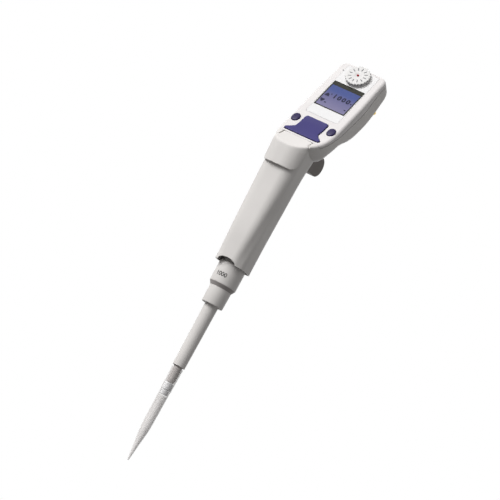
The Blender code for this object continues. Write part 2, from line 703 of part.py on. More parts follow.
def tact_switch(name, x, height, front):
    """A push switch: a square body on the board with a round plunger that ends at a depth."""
    body_front = min(BOARD_FRONT - GAP - 0.0012, front + 0.0016)
    body = facing_plate(name, rounded(SWITCH_HALF, height - SWITCH_HALF, height + SWITCH_HALF, 0.0004),
                        body_front, BOARD_FRONT - GAP, 'dark')
    for vertex in body.data.vertices:
        vertex.co.x += x
    plunger = bore(name + '_plunger', 0.0014, -body_front - 0.0002, -front, head, (x, 0, height), FACING)
    return cut(body, plunger, 'UNION')


# Softkeys: an oval cap through the cover, a guided stem and a switch on the board
for side, sign in (('left', -1), ('right', 1)):
    key_face = -face(KEY_HEIGHT)
    key_axis = empty('softkey_' + side + '_axis', (sign * KEY_X, 0, KEY_HEIGHT), head)
    key = plate('softkey_' + side, oval(KEY_HALF_WIDTH, KEY_HALF_LENGTH), -0.0012, KEY_PROUD - key_face, key_axis,
                'blue', FACING)
    stem_end = 0.0028
    cut(key, bore('key_stem_' + side, 0.0015, -stem_end, 0.0, key_axis, (0, 0, 0), FACING), 'UNION')
    opening = plate('key_opening_' + side, oval(KEY_HALF_WIDTH + GAP, KEY_HALF_LENGTH + GAP), -BOARD_FRONT,
                    CUT_CLEAR + KEY_PROUD, key_axis, None, FACING)
    cut(cover, opening)
    tact_switch('softkey_switch_' + side, sign * (KEY_X - 0.0004), KEY_HEIGHT, stem_end + KEY_TRAVEL + GAP)

# Rocker button, its pin in two bosses of the cover, and its two switches
rocker_axis = empty('rocker_axis', (0, ROCKER_PIVOT_DEPTH, ROCKER_PIVOT), head)
rocker_skin = face_line(-ROCKER_PROUD, BUTTON_SPLIT - 0.004, ROCKER_TOP + 0.004)
rocker_back = face_line(ROCKER_THICKNESS - ROCKER_PROUD, BUTTON_SPLIT - 0.004, ROCKER_TOP + 0.004)
rocker = facing_plate('rocker_button', rocker_outline(0.0), rocker_front, BOARD_FRONT, 'blue')
cut(rocker, plate('rocker_layer', rocker_skin + list(reversed(rocker_back)), -WIDE, WIDE, head, None, SIDEWAYS),
    'INTERSECT')
LUG_RADIUS = PIN_RADIUS + GAP + 0.0008
lug = disc('rocker_lug', LUG_RADIUS, -0.009, 0.009, head, None, 20, (0, ROCKER_PIVOT_DEPTH, ROCKER_PIVOT),
           (0, math.radians(90), 0))
web = block('rocker_web', (-0.009, 0.0005, ROCKER_PIVOT - LUG_RADIUS * 0.7),
            (0.009, ROCKER_PIVOT_DEPTH, ROCKER_PIVOT + LUG_RADIUS * 0.7), head)
cut(rocker, cut(web, lug, 'UNION'), 'UNION')
cut(rocker, bore('rocker_pin_hole', PIN_RADIUS + GAP, -0.012, 0.012, head, (0, ROCKER_PIVOT_DEPTH, ROCKER_PIVOT),
                 (0, math.radians(90), 0)))
BOSS_INNER = 0.0113
BOSS_OUTER = 0.0131
pin_holes = bore('cover_pin_hole', PIN_RADIUS + GAP, -0.014, 0.014, head, (0, ROCKER_PIVOT_DEPTH, ROCKER_PIVOT),
                 (0, math.radians(90), 0))
for side, sign in (('left', -1), ('right', 1)):
    near = min(sign * BOSS_INNER, sign * BOSS_OUTER)
    far = max(sign * BOSS_INNER, sign * BOSS_OUTER)
    pin_boss = block('pin_boss_' + side, (near, 0.0, ROCKER_PIVOT - 0.0019),
                     (far, ROCKER_PIVOT_DEPTH + 0.0021, ROCKER_PIVOT + 0.0019), head)
    cut(cover, pin_boss, 'UNION')
cut(cover, pin_holes)
disc('rocker_pin', PIN_RADIUS, -BOSS_OUTER, BOSS_OUTER, head, 'steel', 16, (0, ROCKER_PIVOT_DEPTH, ROCKER_PIVOT),
     (0, math.radians(90), 0))
for name, height in (('rocker_switch_upper', -0.0310), ('rocker_switch_lower', -0.0450)):
    tact_switch(name, 0.0, height, ROCKER_THICKNESS - ROCKER_PROUD - face(height) + 0.0008)

# Charging contacts at the back corners of the head
contact_depth = reading(HEAD_DEPTHS, CONTACT_HEIGHT) + CONTACT_PROUD
for side, sign in (('left', -1), ('right', 1)):
    spot = (sign * CONTACT_X, 0, CONTACT_HEIGHT)
    cut(housing, bore('contact_hole_' + side, CONTACT_RADIUS + GAP, 0.014, 0.03, head, spot, INWARD))
    turned('charging_contact_' + side,
           [(0, contact_depth), (CONTACT_RADIUS * 0.7, contact_depth), (CONTACT_RADIUS, contact_depth - 0.0006),
            (CONTACT_RADIUS, contact_depth - 0.0040), (0.0008, contact_depth - 0.0040), (0.0008, BOARD_BACK + GAP),
            (0, BOARD_BACK + GAP)], head, 'gold', 20, False, spot, INWARD)

# Ejector button: a front shell round the handle with a cap that carries on the face
button = handle_form('ejector_button', BUTTON_PROUD, axis, 'housing', low=BUTTON_BOTTOM, high=HANDLE_REACH)
cut(button, face_block('face_clear', 0.0))
cut(button, head_form('button_head', 0.0, head), 'UNION')
button_inside = handle_form('button_inside', GAP, axis, low=HANDLE_BOTTOM, high=HANDLE_REACH)
roof = [head_point(*point)
        for point in face_line(BUTTON_CAP, HEAD_LIP - ROOF_OVERRUN, BUTTON_SPLIT + ROOF_OVERRUN)]
sky = HEAD_CENTRE.z + HEAD_TOP
above_roof = plate('above_roof', roof + [(roof[-1][0], sky), (-OUTSIDE, sky), (-OUTSIDE, roof[0][1])], -WIDE, WIDE,
                   axis, None, SIDEWAYS)
cut(button, cut(button_inside, above_roof))
cut(button, zone, 'INTERSECT')
cut(button, bore('button_boss', BOSS_RADIUS, boss_top - BOSS_LENGTH, boss_top, axis, (0, ROD_Y, 0)), 'UNION')
rod_top = boss_top - 0.0018
cut(button, bore('button_socket', ROD_RADIUS + GAP, boss_top - BOSS_LENGTH - CUT_PAST, rod_top + GAP, axis,
                 (0, ROD_Y, 0)))

# Ejector sleeve: collar, drum and thin tube in one moulding, with a lug for the rod
tube_top = SLEEVE_TUBE_RADIUS + SLEEVE_TUBE_FLARE
drum_top = DRUM_RADIUS + DRUM_FLARE
tube_bore = SLEEVE_TUBE_RADIUS - SLEEVE_WALL
drum_floor = DRUM_BOTTOM + 0.0013
collar_bore = COLLAR_RADIUS - COLLAR_WALL
neck_bore = NECK_RADIUS - COLLAR_WALL
sleeve = turned('ejector_sleeve', [
    (NECK_RADIUS, COLLAR_TOP), (NECK_RADIUS, HANDLE_BOTTOM + 0.0025), (COLLAR_RADIUS, HANDLE_BOTTOM + 0.0005),
    (COLLAR_RADIUS, COLLAR_BOTTOM), (drum_top, SHOULDER_BOTTOM),
    (DRUM_RADIUS, DRUM_BOTTOM + 0.0005), (DRUM_RADIUS - 0.0005, DRUM_BOTTOM), (tube_top, DRUM_BOTTOM),
    (SLEEVE_TUBE_RADIUS, SLEEVE_BOTTOM), (tube_bore, SLEEVE_BOTTOM), (tube_bore, drum_floor),
    (DRUM_RADIUS - DRUM_WALL, drum_floor), (DRUM_RADIUS - DRUM_WALL, SHOULDER_BOTTOM - 0.0005),
    (collar_bore, COLLAR_BOTTOM - 0.0005), (collar_bore, HANDLE_BOTTOM - 0.0010),
    (neck_bore, HANDLE_BOTTOM + 0.0010), (neck_bore, COLLAR_TOP)], axis, 'housing')
lug_bottom = COLLAR_TOP - 0.0060
cut(sleeve, block('sleeve_lug', (-0.0026, ROD_Y - 0.0019, lug_bottom), (0.0026, -neck_bore - 0.0003, COLLAR_TOP),
                  axis), 'UNION')
rod_bottom = lug_bottom + 0.0016
cut(sleeve, bore('lug_socket', ROD_RADIUS + GAP, rod_bottom - GAP, COLLAR_TOP + 0.002, axis, (0, ROD_Y, 0)))

# Piston cylinder, seal and drive, stacked above the sleeve's drum
CYLINDER_BOTTOM = drum_floor + 2 * GAP
PISTON_BOTTOM = CYLINDER_BOTTOM + CYLINDER_SOCKET + 0.0038
FLANGE_BOTTOM = COLLAR_TOP + 0.0020
FLANGE_TOP = FLANGE_BOTTOM + FLANGE_HEIGHT
cylinder_bore = PISTON_RADIUS + 0.0004
cylinder_radius = cylinder_bore + CYLINDER_WALL
seal_bottom = FLANGE_TOP - 0.0120
socket_top = CYLINDER_BOTTOM + CYLINDER_SOCKET
pocket = cylinder_bore + SEAL_WIDTH + GAP
turned('piston_cylinder', [
    (FLANGE_RADIUS, FLANGE_TOP), (FLANGE_RADIUS, FLANGE_BOTTOM), (cylinder_radius, FLANGE_BOTTOM),
    (cylinder_radius, CYLINDER_BOTTOM), (CONE_STEM_RADIUS + GAP, CYLINDER_BOTTOM),
    (CONE_STEM_RADIUS + GAP, socket_top), (CONE_BORE_RADIUS, socket_top), (CONE_BORE_RADIUS, PISTON_BOTTOM - 0.0013),
    (cylinder_bore, PISTON_BOTTOM - 0.0006), (cylinder_bore, seal_bottom), (pocket, seal_bottom),
    (pocket, FLANGE_TOP)], axis, 'dark', 28)
turned('piston_seal', [
    (pocket - GAP, seal_bottom + GAP + SEAL_HEIGHT), (pocket - GAP, seal_bottom + GAP),
    (PISTON_RADIUS + GAP, seal_bottom + GAP), (PISTON_RADIUS + GAP, seal_bottom + GAP + SEAL_HEIGHT)], axis, 'dark', 28)
retainer_bottom = seal_bottom + 2 * GAP + SEAL_HEIGHT
turned('seal_retainer', [
    (pocket - GAP, FLANGE_TOP - GAP), (pocket - GAP, retainer_bottom), (cylinder_bore, retainer_bottom),
    (cylinder_bore, FLANGE_TOP - GAP)], axis, 'steel', 28)
piston_top = PISTON_BOTTOM + PISTON_LENGTH
screw_socket = 0.0040
turned('piston', [
    (0, piston_top - screw_socket - GAP), (SCREW_RADIUS + GAP, piston_top - screw_socket - GAP),
    (SCREW_RADIUS + GAP, piston_top), (PISTON_RADIUS - 0.0005, piston_top), (PISTON_RADIUS, piston_top - 0.0005),
    (PISTON_RADIUS, PISTON_BOTTOM + 0.0005), (PISTON_RADIUS - 0.0005, PISTON_BOTTOM), (0, PISTON_BOTTOM)],
    axis, 'steel', 28, False)
MOTOR_BOTTOM = piston_top + PISTON_TRAVEL + 0.0010
MOTOR_TOP = MOTOR_BOTTOM + MOTOR_LENGTH
screw_bore = SCREW_RADIUS + 0.0004
disc('lead_screw', SCREW_RADIUS, piston_top - screw_socket, MOTOR_TOP + 0.0150, axis, 'steel', 16)
turned('motor_case', [
    (MOTOR_RADIUS - 0.0005, MOTOR_TOP), (MOTOR_RADIUS, MOTOR_TOP - 0.0005), (MOTOR_RADIUS, MOTOR_BOTTOM),
    (screw_bore, MOTOR_BOTTOM), (screw_bore, MOTOR_BOTTOM + MOTOR_WALL),
    (ROTOR_RADIUS + GAP, MOTOR_BOTTOM + MOTOR_WALL), (ROTOR_RADIUS + GAP, MOTOR_TOP - MOTOR_WALL),
    (screw_bore, MOTOR_TOP - MOTOR_WALL), (screw_bore, MOTOR_TOP)], axis, 'steel', 28)
turned('motor_rotor', [
    (ROTOR_RADIUS, MOTOR_TOP - MOTOR_WALL - GAP), (ROTOR_RADIUS, MOTOR_BOTTOM + MOTOR_WALL + GAP),
    (SCREW_RADIUS + GAP, MOTOR_BOTTOM + MOTOR_WALL + GAP), (SCREW_RADIUS + GAP, MOTOR_TOP - MOTOR_WALL - GAP)],
    axis, 'dark', 24)

# Chassis: a plate across the handle with a tube that holds the motor over the cylinder
CHASSIS_BOTTOM = FLANGE_TOP + GAP
CHASSIS_TOP = CHASSIS_BOTTOM + CHASSIS_PLATE
chassis = handle_form('chassis', -HANDLE_WALL - GAP, axis, 'dark', low=CHASSIS_BOTTOM, high=CHASSIS_TOP)
piston_way = PISTON_RADIUS + 0.0020
chassis_tube = turned('chassis_tube', [
    (MOTOR_RADIUS, MOTOR_BOTTOM - GAP), (MOTOR_RADIUS, CHASSIS_BOTTOM + 0.001), (piston_way, CHASSIS_BOTTOM + 0.001),
    (piston_way, MOTOR_BOTTOM - GAP)], axis, None, 28)
cut(chassis, chassis_tube, 'UNION')
cut(chassis, bore('chassis_bore', piston_way, CHASSIS_BOTTOM - 0.001, CHASSIS_TOP + 0.001, axis))
cut(chassis, bore('chassis_rod_hole', ROD_RADIUS + GAP, CHASSIS_BOTTOM - 0.001, CHASSIS_TOP + 0.001, axis,
                  (0, ROD_Y, 0)))

# Ejector rod with its spring collar, and the return spring round it
spring_low = CHASSIS_TOP + GAP
spring_high = spring_low + EJECT_SPRING_LENGTH
turned('ejector_rod', [
    (0, rod_top), (ROD_RADIUS, rod_top), (ROD_RADIUS, spring_high + GAP + 0.0020),
    (ROD_RADIUS + 0.0012, spring_high + GAP + 0.0020), (ROD_RADIUS + 0.0012, spring_high + GAP),
    (ROD_RADIUS, spring_high + GAP), (ROD_RADIUS, rod_bottom), (0, rod_bottom)], axis, 'steel', 16, False,
    (0, ROD_Y, 0))
coil('ejector_spring', ROD_RADIUS + GAP + EJECT_SPRING_WIRE, EJECT_SPRING_WIRE, spring_low, spring_high,
     EJECT_SPRING_TURNS, axis, 'steel', (0, ROD_Y, 0))

# Tip cone with its stem and spring
cone_low = TIP_TOP - CONE_ENTRY
cone_flange = CYLINDER_BOTTOM - GAP - CONE_SPRING_LENGTH - GAP
cone_radius = TIP_COLLAR_RADIUS - TIP_WALL - GAP
turned('tip_cone', [
    (CONE_STEM_RADIUS, socket_top - CONE_TRAVEL - GAP), (CONE_STEM_RADIUS, cone_flange),
    (tube_bore - GAP, cone_flange), (tube_bore - GAP, cone_flange - CONE_FLANGE_HEIGHT),
    (cone_radius - 0.0001, cone_flange - CONE_FLANGE_HEIGHT - 0.001), (cone_radius - 0.0001, TIP_TOP + 0.001),
    (cone_radius - 0.0004, cone_low + 0.0006), (cone_radius - 0.0008, cone_low), (CONE_BORE_RADIUS, cone_low),
    (CONE_BORE_RADIUS, socket_top - CONE_TRAVEL - GAP)], axis, 'cone', 28)
coil('cone_spring', CONE_STEM_RADIUS + GAP + CONE_SPRING_WIRE, CONE_SPRING_WIRE, cone_flange + GAP,
     CYLINDER_BOTTOM - GAP, CONE_SPRING_TURNS, axis, 'steel')

# Pipette tip with its two filters
outer = [(TIP_COLLAR_RADIUS + TIP_RIM, TIP_TOP), (TIP_COLLAR_RADIUS + TIP_RIM, TIP_TOP - 0.0010),
         (TIP_COLLAR_RADIUS, TIP_TOP - 0.0020), (TIP_COLLAR_RADIUS - 0.0001, TIP_CONE_LENGTH + 0.0005),
         (TIP_BODY_RADIUS + 0.0002, TIP_CONE_LENGTH)]
for share, radius_share in ((0.65, 1.0), (0.47, 0.96), (0.40, 0.87), (0.316, 0.72), (0.246, 0.56), (0.158, 0.43),
                            (0.088, 0.32)):
    outer.append((TIP_BODY_RADIUS * radius_share, TIP_CONE_LENGTH * share))
outer.append((TIP_END_RADIUS, 0.0))
inner = [(TIP_END_RADIUS * 0.5, 0.0)]
for radius, height in reversed(outer[5:-1]):
    inner.append((radius - TIP_WALL * 0.9, height))
inner += [(TIP_BODY_RADIUS + 0.0002 - TIP_WALL, TIP_CONE_LENGTH),
          (TIP_COLLAR_RADIUS - TIP_WALL, TIP_CONE_LENGTH + 0.001),
          (TIP_COLLAR_RADIUS - TIP_WALL + 0.0001, TIP_TOP)]
turned('pipette_tip', outer + inner, axis, 'frosted', 24)
upper_top = cone_low - 2 * GAP
filter_radius = TIP_COLLAR_RADIUS - TIP_WALL - GAP
disc('upper_filter', filter_radius, upper_top - FILTER_UPPER_LENGTH, upper_top, axis, 'filter', 24)
lower_top = upper_top - FILTER_UPPER_LENGTH - 2 * GAP
disc('lower_filter', TIP_BODY_RADIUS - TIP_WALL - GAP, lower_top - FILTER_LOWER_LENGTH, lower_top, axis, 'filter', 24)

# Finger hook behind the head, and the screw that holds it from inside
rest = HOOK_REST
hook_outline = [(0.004, rest + 0.0020), (0.0165, rest + 0.0006), (HOOK_SEAT - 0.0065, rest), (HOOK_SEAT + 0.0065, rest)]
nose = 0.0078
for step in range(1, 15):
    angle = -math.pi / 2 + step * math.pi * 0.95 / 14
    hook_outline.append((HOOK_REACH - nose + nose * math.cos(angle), rest + nose + nose * math.sin(angle)))
hook_outline += [(HOOK_REACH - nose, rest + HOOK_THICKNESS), (0.020, rest + HOOK_THICKNESS - 0.0004),
                 (0.004, rest + HOOK_THICKNESS - 0.0020)]
hook = plate('finger_hook', hook_outline, -HOOK_HALF_WIDTH, HOOK_HALF_WIDTH, axis, 'hook', SIDEWAYS)
round_edges(hook, 0.0018, 2, 50)
cut(hook, handle_form('hook_seat', GAP, axis, high=HANDLE_REACH))
cut(hook, head_form('hook_head_seat', GAP, head))
HOOK_SCREW_HEIGHT = rest + 0.0045
screw_spot = (0, 0, HOOK_SCREW_HEIGHT)
back_inside = 0.0098
cut(housing, bore('screw_hole', SCREW_RADIUS + GAP, 0.004, 0.016, axis, screw_spot, INWARD))
cut(hook, bore('hook_screw_hole', SCREW_RADIUS + GAP, 0.004, 0.0185, axis, screw_spot, INWARD))
turned('hook_screw', [
    (0, 0.0180), (SCREW_RADIUS, 0.0180), (SCREW_RADIUS, back_inside - GAP), (SCREW_HEAD_RADIUS, back_inside - GAP),
    (SCREW_HEAD_RADIUS, back_inside - 0.0016), (0, back_inside - 0.0016)], axis, 'steel', 20, False, screw_spot, INWARD)

for piece in parts.objects:
    if piece.type == 'MESH':
        smooth(piece.data)
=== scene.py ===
# Electronic single-channel pipette with its filter tip: the looks of each piece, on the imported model.
import math

import bmesh
import bpy
from mathutils import Matrix, Vector, kdtree


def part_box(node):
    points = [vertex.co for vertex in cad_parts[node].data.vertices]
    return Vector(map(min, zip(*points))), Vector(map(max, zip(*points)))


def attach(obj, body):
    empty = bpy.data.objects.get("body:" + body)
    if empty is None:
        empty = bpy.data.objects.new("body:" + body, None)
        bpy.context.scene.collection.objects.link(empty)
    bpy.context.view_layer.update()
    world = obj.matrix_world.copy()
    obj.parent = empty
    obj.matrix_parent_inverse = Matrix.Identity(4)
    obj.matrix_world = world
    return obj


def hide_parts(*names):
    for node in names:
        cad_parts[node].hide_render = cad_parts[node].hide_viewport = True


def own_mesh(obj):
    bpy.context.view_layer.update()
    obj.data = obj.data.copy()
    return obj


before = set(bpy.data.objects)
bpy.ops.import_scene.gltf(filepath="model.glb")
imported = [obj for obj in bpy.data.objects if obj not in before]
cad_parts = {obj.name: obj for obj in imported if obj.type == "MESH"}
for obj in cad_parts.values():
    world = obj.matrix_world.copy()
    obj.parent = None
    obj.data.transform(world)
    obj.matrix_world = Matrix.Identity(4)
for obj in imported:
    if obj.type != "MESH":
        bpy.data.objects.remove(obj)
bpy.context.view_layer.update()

# The view: a long lens to the right of the pipette and a little below it, so that the tip points down to
# the left and the face of the head looks at the camera. The directions are those of the photograph.
LENS_DISTANCE = 3.333
SCALE_AT_HANDLE = 1371.0
PHOTO_SIZE = 500
SENSOR_MM = 36
SHIFT_RIGHT = 0.00792
SHIFT_UP = 0.00371
to_camera = Vector((0.46538, -0.87822, -0.11023)).normalized()
up_in_view = Vector((-0.37687, -0.30930, 0.87310)).normalized()
right_in_view = up_in_view.cross(to_camera)
view_centre = Vector((0, -0.024, -0.080)) + SHIFT_RIGHT * right_in_view + SHIFT_UP * up_in_view


def linked(name, data):
    """A new object in the scene."""
    made = bpy.data.objects.new(name, data)
    bpy.context.scene.collection.objects.link(made)
    return made


lens = bpy.data.cameras.new("lens")
lens.sensor_width = SENSOR_MM
lens.lens = SCALE_AT_HANDLE * LENS_DISTANCE * SENSOR_MM / PHOTO_SIZE
lens.clip_end = 20
camera = linked("camera", lens)
camera.matrix_world = Matrix.Translation(view_centre + LENS_DISTANCE * to_camera) @ Matrix(
    (right_in_view, up_in_view, to_camera)).transposed().to_4x4()
bpy.context.scene.camera = camera

# Rear housing: one hollow moulding of light grey plastic, the handle with its soft flutes and the back of
# the tilted head. The handle stands on the pipette's axis, and the head is drawn about its own middle.
GAP = 0.0003
HANDLE_WALL = 0.0014
HEAD_WALL = 0.0018
piston_low, piston_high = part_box("piston")
AXIS_Y = (piston_low.y + piston_high.y) / 2
TIP_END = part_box("pipette_tip")[0].z
HANDLE_FOOT = 0.1600
HANDLE_LENGTH = 0.0800
HANDLE_REACH = HANDLE_FOOT + HANDLE_LENGTH * 1.4
HANDLE_CORNER = 0.0090
FLUTE_DEPTH = 0.0009
FLUTE_WIDTH = 0.0036
HANDLE_WIDTHS = [(0.0, 0.0125), (0.06, 0.0126), (0.34, 0.0134), (0.70, 0.0138), (1.0, 0.0141), (1.2, 0.0146)]
HANDLE_FRONTS = [(0.0, 0.0146), (0.06, 0.0149), (0.34, 0.0163), (0.70, 0.0165), (1.0, 0.0167), (1.2, 0.0171)]
HANDLE_BACKS = [(0.0, 0.0123), (0.06, 0.0119), (0.34, 0.0102), (0.70, 0.0100), (1.0, 0.0101), (1.2, 0.0115)]
BUTTON_FOOT = HANDLE_FOOT + HANDLE_LENGTH
HEAD_TILT = math.radians(28.05)
HEAD_HALF_WIDTH = 0.0212
HEAD_TOP = 0.0345
HEAD_LIP = -0.0644
HEAD_EDGE = 0.0025
HEAD_TAPER = 0.0009
HEAD_ROUND = 2.6
FACE_BEND = -0.0270
FACE_DROP = 0.01007
HEAD_DEPTHS = [(-0.0644, -0.0040), (-0.0600, 0.0040), (-0.0550, 0.0130), (-0.0500, 0.0168), (-0.0420, 0.0159),
               (-0.0350, 0.0161), (-0.0270, 0.0170), (-0.0200, 0.0190), (-0.0130, 0.0203), (-0.0030, 0.0208),
               (0.0050, 0.0208), (0.0130, 0.0199), (0.0210, 0.0186), (0.0290, 0.0163), (0.0345, 0.0128)]
BACK_CORNERS = [(-0.0644, 0.0030), (-0.0500, 0.0135), (-0.0350, 0.0095), (-0.0200, 0.0048), (0.0, 0.0040),
                (0.0345, 0.0040)]
SEAM_DEPTHS = [(-0.0505, -0.0010), (-0.0420, 0.0016), (-0.0330, 0.0036), (-0.0250, 0.0050), (-0.0120, 0.0060),
               (0.0, 0.0064), (0.0100, 0.0056), (0.0200, 0.0042), (0.0345, 0.0038)]
BUTTON_SPLIT = -0.0505
BUTTON_SIDE = -0.0120
BUTTON_CAP = 0.0032
BUTTON_CORNER = 0.0062
TONGUE_HALF_WIDTH = 0.0130
EJECT_TRAVEL = 0.0090
ROOF_OVERRUN = 0.0040
WIDE = 0.030
OUTSIDE = 0.035
window_low, window_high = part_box("display_window")
upright = Matrix.Translation((0, AXIS_Y, TIP_END))
head_turn = Matrix.Rotation(-HEAD_TILT, 4, "X")
head = Matrix.Translation((window_low + window_high) / 2 - head_turn @ Vector((0, HEAD_WALL / 2, 0))) @ head_turn
to_handle = upright.inverted() @ head


def reading(table, at):
    """Reads a smooth curve through pairs of place and value."""
    if at <= table[0][0]:
        return table[0][1]
    if at >= table[-1][0]:
        return table[-1][1]
    index = next(i for i in range(1, len(table)) if at <= table[i][0])
    (start, first), (end, last) = table[index - 1], table[index]
    before = table[max(index - 2, 0)]
    after = table[min(index + 1, len(table) - 1)]
    slope_in = (last - before[1]) / (end - before[0]) * (end - start)
    slope_out = (after[1] - first) / (after[0] - start) * (end - start)
    t = (at - start) / (end - start)
    return ((2 * t ** 3 - 3 * t ** 2 + 1) * first + (t ** 3 - 2 * t ** 2 + t) * slope_in
            + (3 * t ** 2 - 2 * t ** 3) * last + (t ** 3 - t ** 2) * slope_out)


def ring(half_width, front, back, near, far, flute, flute_place, steps):
    """Points round a section with rounded corners, with a flute that runs over each front corner."""
    room = min(half_width, (back - front) / 2) * 0.98
    near = min(near, room)
    far = min(far, room)
    side = back - far - front - near
    turns = [(index / steps, 0.0) for index in range(steps + 1)]
    turns += [(1.0, index / 8) for index in range(1, 8)]
    right = []
    for turn, along in turns:
        angle = (turn - 1) * math.pi / 2
        travel = near * turn * math.pi / 2 + side * along
        dip = flute * math.exp(-((travel - flute_place) / FLUTE_WIDTH) ** 2)
        right.append((half_width - near + (near - dip) * math.cos(angle),
                      front + near + (near - dip) * math.sin(angle) + side * along))
    for index in range(steps + 1):
        angle = index / steps * math.pi / 2
        right.append((half_width - far + far * math.cos(angle), back - far + far * math.sin(angle)))
    return right + [(-x, y) for x, y in reversed(right)]


def skinned(rings, looped=False):
    """A solid whose skin joins rings of points. Its ends are points or flat caps, or they join each other."""
    work = bmesh.new()
    rows = [[work.verts.new(point) for point in ring] for ring in rings]
    for lower, upper in list(zip(rows, rows[1:])) + [(rows[-1], rows[0])] * looped:
        count = max(len(lower), len(upper))
        for step in range(count):
            following = (step + 1) % count
            corners = list(dict.fromkeys((lower[step % len(lower)], lower[following % len(lower)],
                                          upper[following % len(upper)], upper[step % len(upper)])))
            if len(corners) > 2:
                work.faces.new(corners)
    for cap in () if looped else (rows[0][::-1], rows[-1]):
        if len(cap) > 2:
            work.faces.new(cap)
    bmesh.ops.recalc_face_normals(work, faces=work.faces)
    mesh = bpy.data.meshes.new("skin")
    work.to_mesh(mesh)
    work.free()
    return mesh


def loft(sections, matrix):
    """Joins closed sections, each a height and its points, with flat ends."""
    return skinned([[matrix @ Vector((x, y, height)) for x, y in points] for height, points in sections])


def handle_form(grown, low, high, levels=48, steps=14):
    sections = []
    for level in range(levels + 1):
        height = low + (high - low) * level / levels
        share = (height - HANDLE_FOOT) / HANDLE_LENGTH
        fade = max(0.0, min(1.0, (0.95 - share) * 2.5)) * max(0.0, min(1.0, 0.6 + share * 4))
        corner = HANDLE_CORNER + grown
        place = corner * math.radians(46 + 46 * max(0.0, share))
        points = ring(reading(HANDLE_WIDTHS, share) + grown, -reading(HANDLE_FRONTS, share) - grown,
                      reading(HANDLE_BACKS, share) + grown, corner, corner, FLUTE_DEPTH * fade, place, steps)
        sections.append((height, points))
    return loft(sections, upright)


def face(height):
    """How far the face stands in front of its flat part, at a height on the head."""
    return FACE_DROP * (min(0.0, height - FACE_BEND) / (FACE_BEND - HEAD_LIP)) ** 2


def head_width(height):
    straight = HEAD_TOP - 0.0125
    if height > straight:
        share = min(1.0, (height - straight) / (HEAD_TOP - straight))
        return (HEAD_HALF_WIDTH - HEAD_TAPER) * (1 - share ** 6) ** (1 / 6)
    if height > FACE_BEND - 0.003:
        return HEAD_HALF_WIDTH - HEAD_TAPER * max(0.0, height / straight)
    share = min(1.0, (FACE_BEND - 0.003 - height) / (FACE_BEND - 0.003 - HEAD_LIP))
    return HEAD_HALF_WIDTH * (1 - share ** HEAD_ROUND) ** (1 / HEAD_ROUND)


def head_form(grown, stations=80, steps=7):
    sections = []
    low = HEAD_LIP + 0.0002
    high = HEAD_TOP - 0.0001
    for station in range(stations + 1):
        share = 0.5 - 0.5 * math.cos(math.pi * station / stations)
        height = low + (high - low) * (0.55 * share + 0.45 * station / stations)
        edge = HEAD_EDGE - math.sqrt(max(0.0, HEAD_EDGE ** 2 - max(0.0, height - HEAD_TOP + HEAD_EDGE) ** 2))
        points = ring(head_width(height) + grown, 0.7 * edge - face(height) - grown,
                      reading(HEAD_DEPTHS, height) + grown, HEAD_EDGE + max(grown, -0.0015),
                      reading(BACK_CORNERS, height) + grown, 0.0, 0.0, steps)
        sections.append((height, points))
    sections[0] = (sections[0][0] - grown, sections[0][1])
    sections[-1] = (sections[-1][0] + grown, sections[-1][1])
    return loft(sections, head)


def prism(points, along, matrix):
    """A closed outline carried along a vector, as a solid."""
    work = bmesh.new()
    near = [work.verts.new(matrix @ Vector(point)) for point in points]
    far = [work.verts.new(matrix @ (Vector(point) + Vector(along))) for point in points]
    work.faces.new(near)
    work.faces.new(list(reversed(far)))
    for index in range(len(points)):
        following = (index + 1) % len(points)
        work.faces.new((near[following], near[index], far[index], far[following]))
    bmesh.ops.recalc_face_normals(work, faces=work.faces)
    mesh = bpy.data.meshes.new("prism")
    work.to_mesh(mesh)
    work.free()
    return mesh


def side_slab(outline, half_width, matrix):
    """A solid across the pipette, from an outline of (depth, height) on its middle plane."""
    return prism([(-half_width, y, z) for y, z in outline], (2 * half_width, 0, 0), matrix)


def face_slab(outline, front, back, matrix=head):
    """A solid parallel to the face, from an outline of (across, height), between two depths."""
    return prism([(x, front, z) for x, z in outline], (0, back - front, 0), matrix)


def evaluated(piece, *tools):
    """The mesh of a work object after its modifiers. The object and its tools are removed."""
    made = bpy.data.meshes.new_from_object(piece.evaluated_get(bpy.context.evaluated_depsgraph_get()))
    for item in (piece, *tools):
        bpy.data.objects.remove(item, do_unlink=True)
    return made


def combined(mesh, *steps):
    """A mesh after some Boolean steps, each an operation and the mesh that it uses."""
    piece = linked("work", mesh)
    tools = []
    for operation, tool_mesh in steps:
        tools.append(linked("tool", tool_mesh))
        modifier = piece.modifiers.new("step", "BOOLEAN")
        modifier.operation = operation
        modifier.object = tools[-1]
    return evaluated(piece, *tools)


def arc(x, y, radius, start, end, count):
    """Points on an arc about (x, y), between two angles in degrees."""
    angles = [math.radians(start + (end - start) * step / count) for step in range(count + 1)]
    return [(x + radius * math.cos(angle), y + radius * math.sin(angle)) for angle in angles]


def circle(radius, count, stretch=1.0):
    """Points round a circle about zero, stretched upward."""
    turns = [math.tau * step / count for step in range(count)]
    return [(radius * math.cos(turn), stretch * radius * math.sin(turn)) for turn in turns]


def face_line(depth, low, high, count=28):
    heights = [low + (high - low) * step / count for step in range(count + 1)]
    return [(depth - face(height), height) for height in heights]


def on_axis(depth, height):
    """A point of the head's middle plane, as (y, z) along the pipette."""
    point = to_handle @ Vector((0, depth, height))
    return point.y, point.z


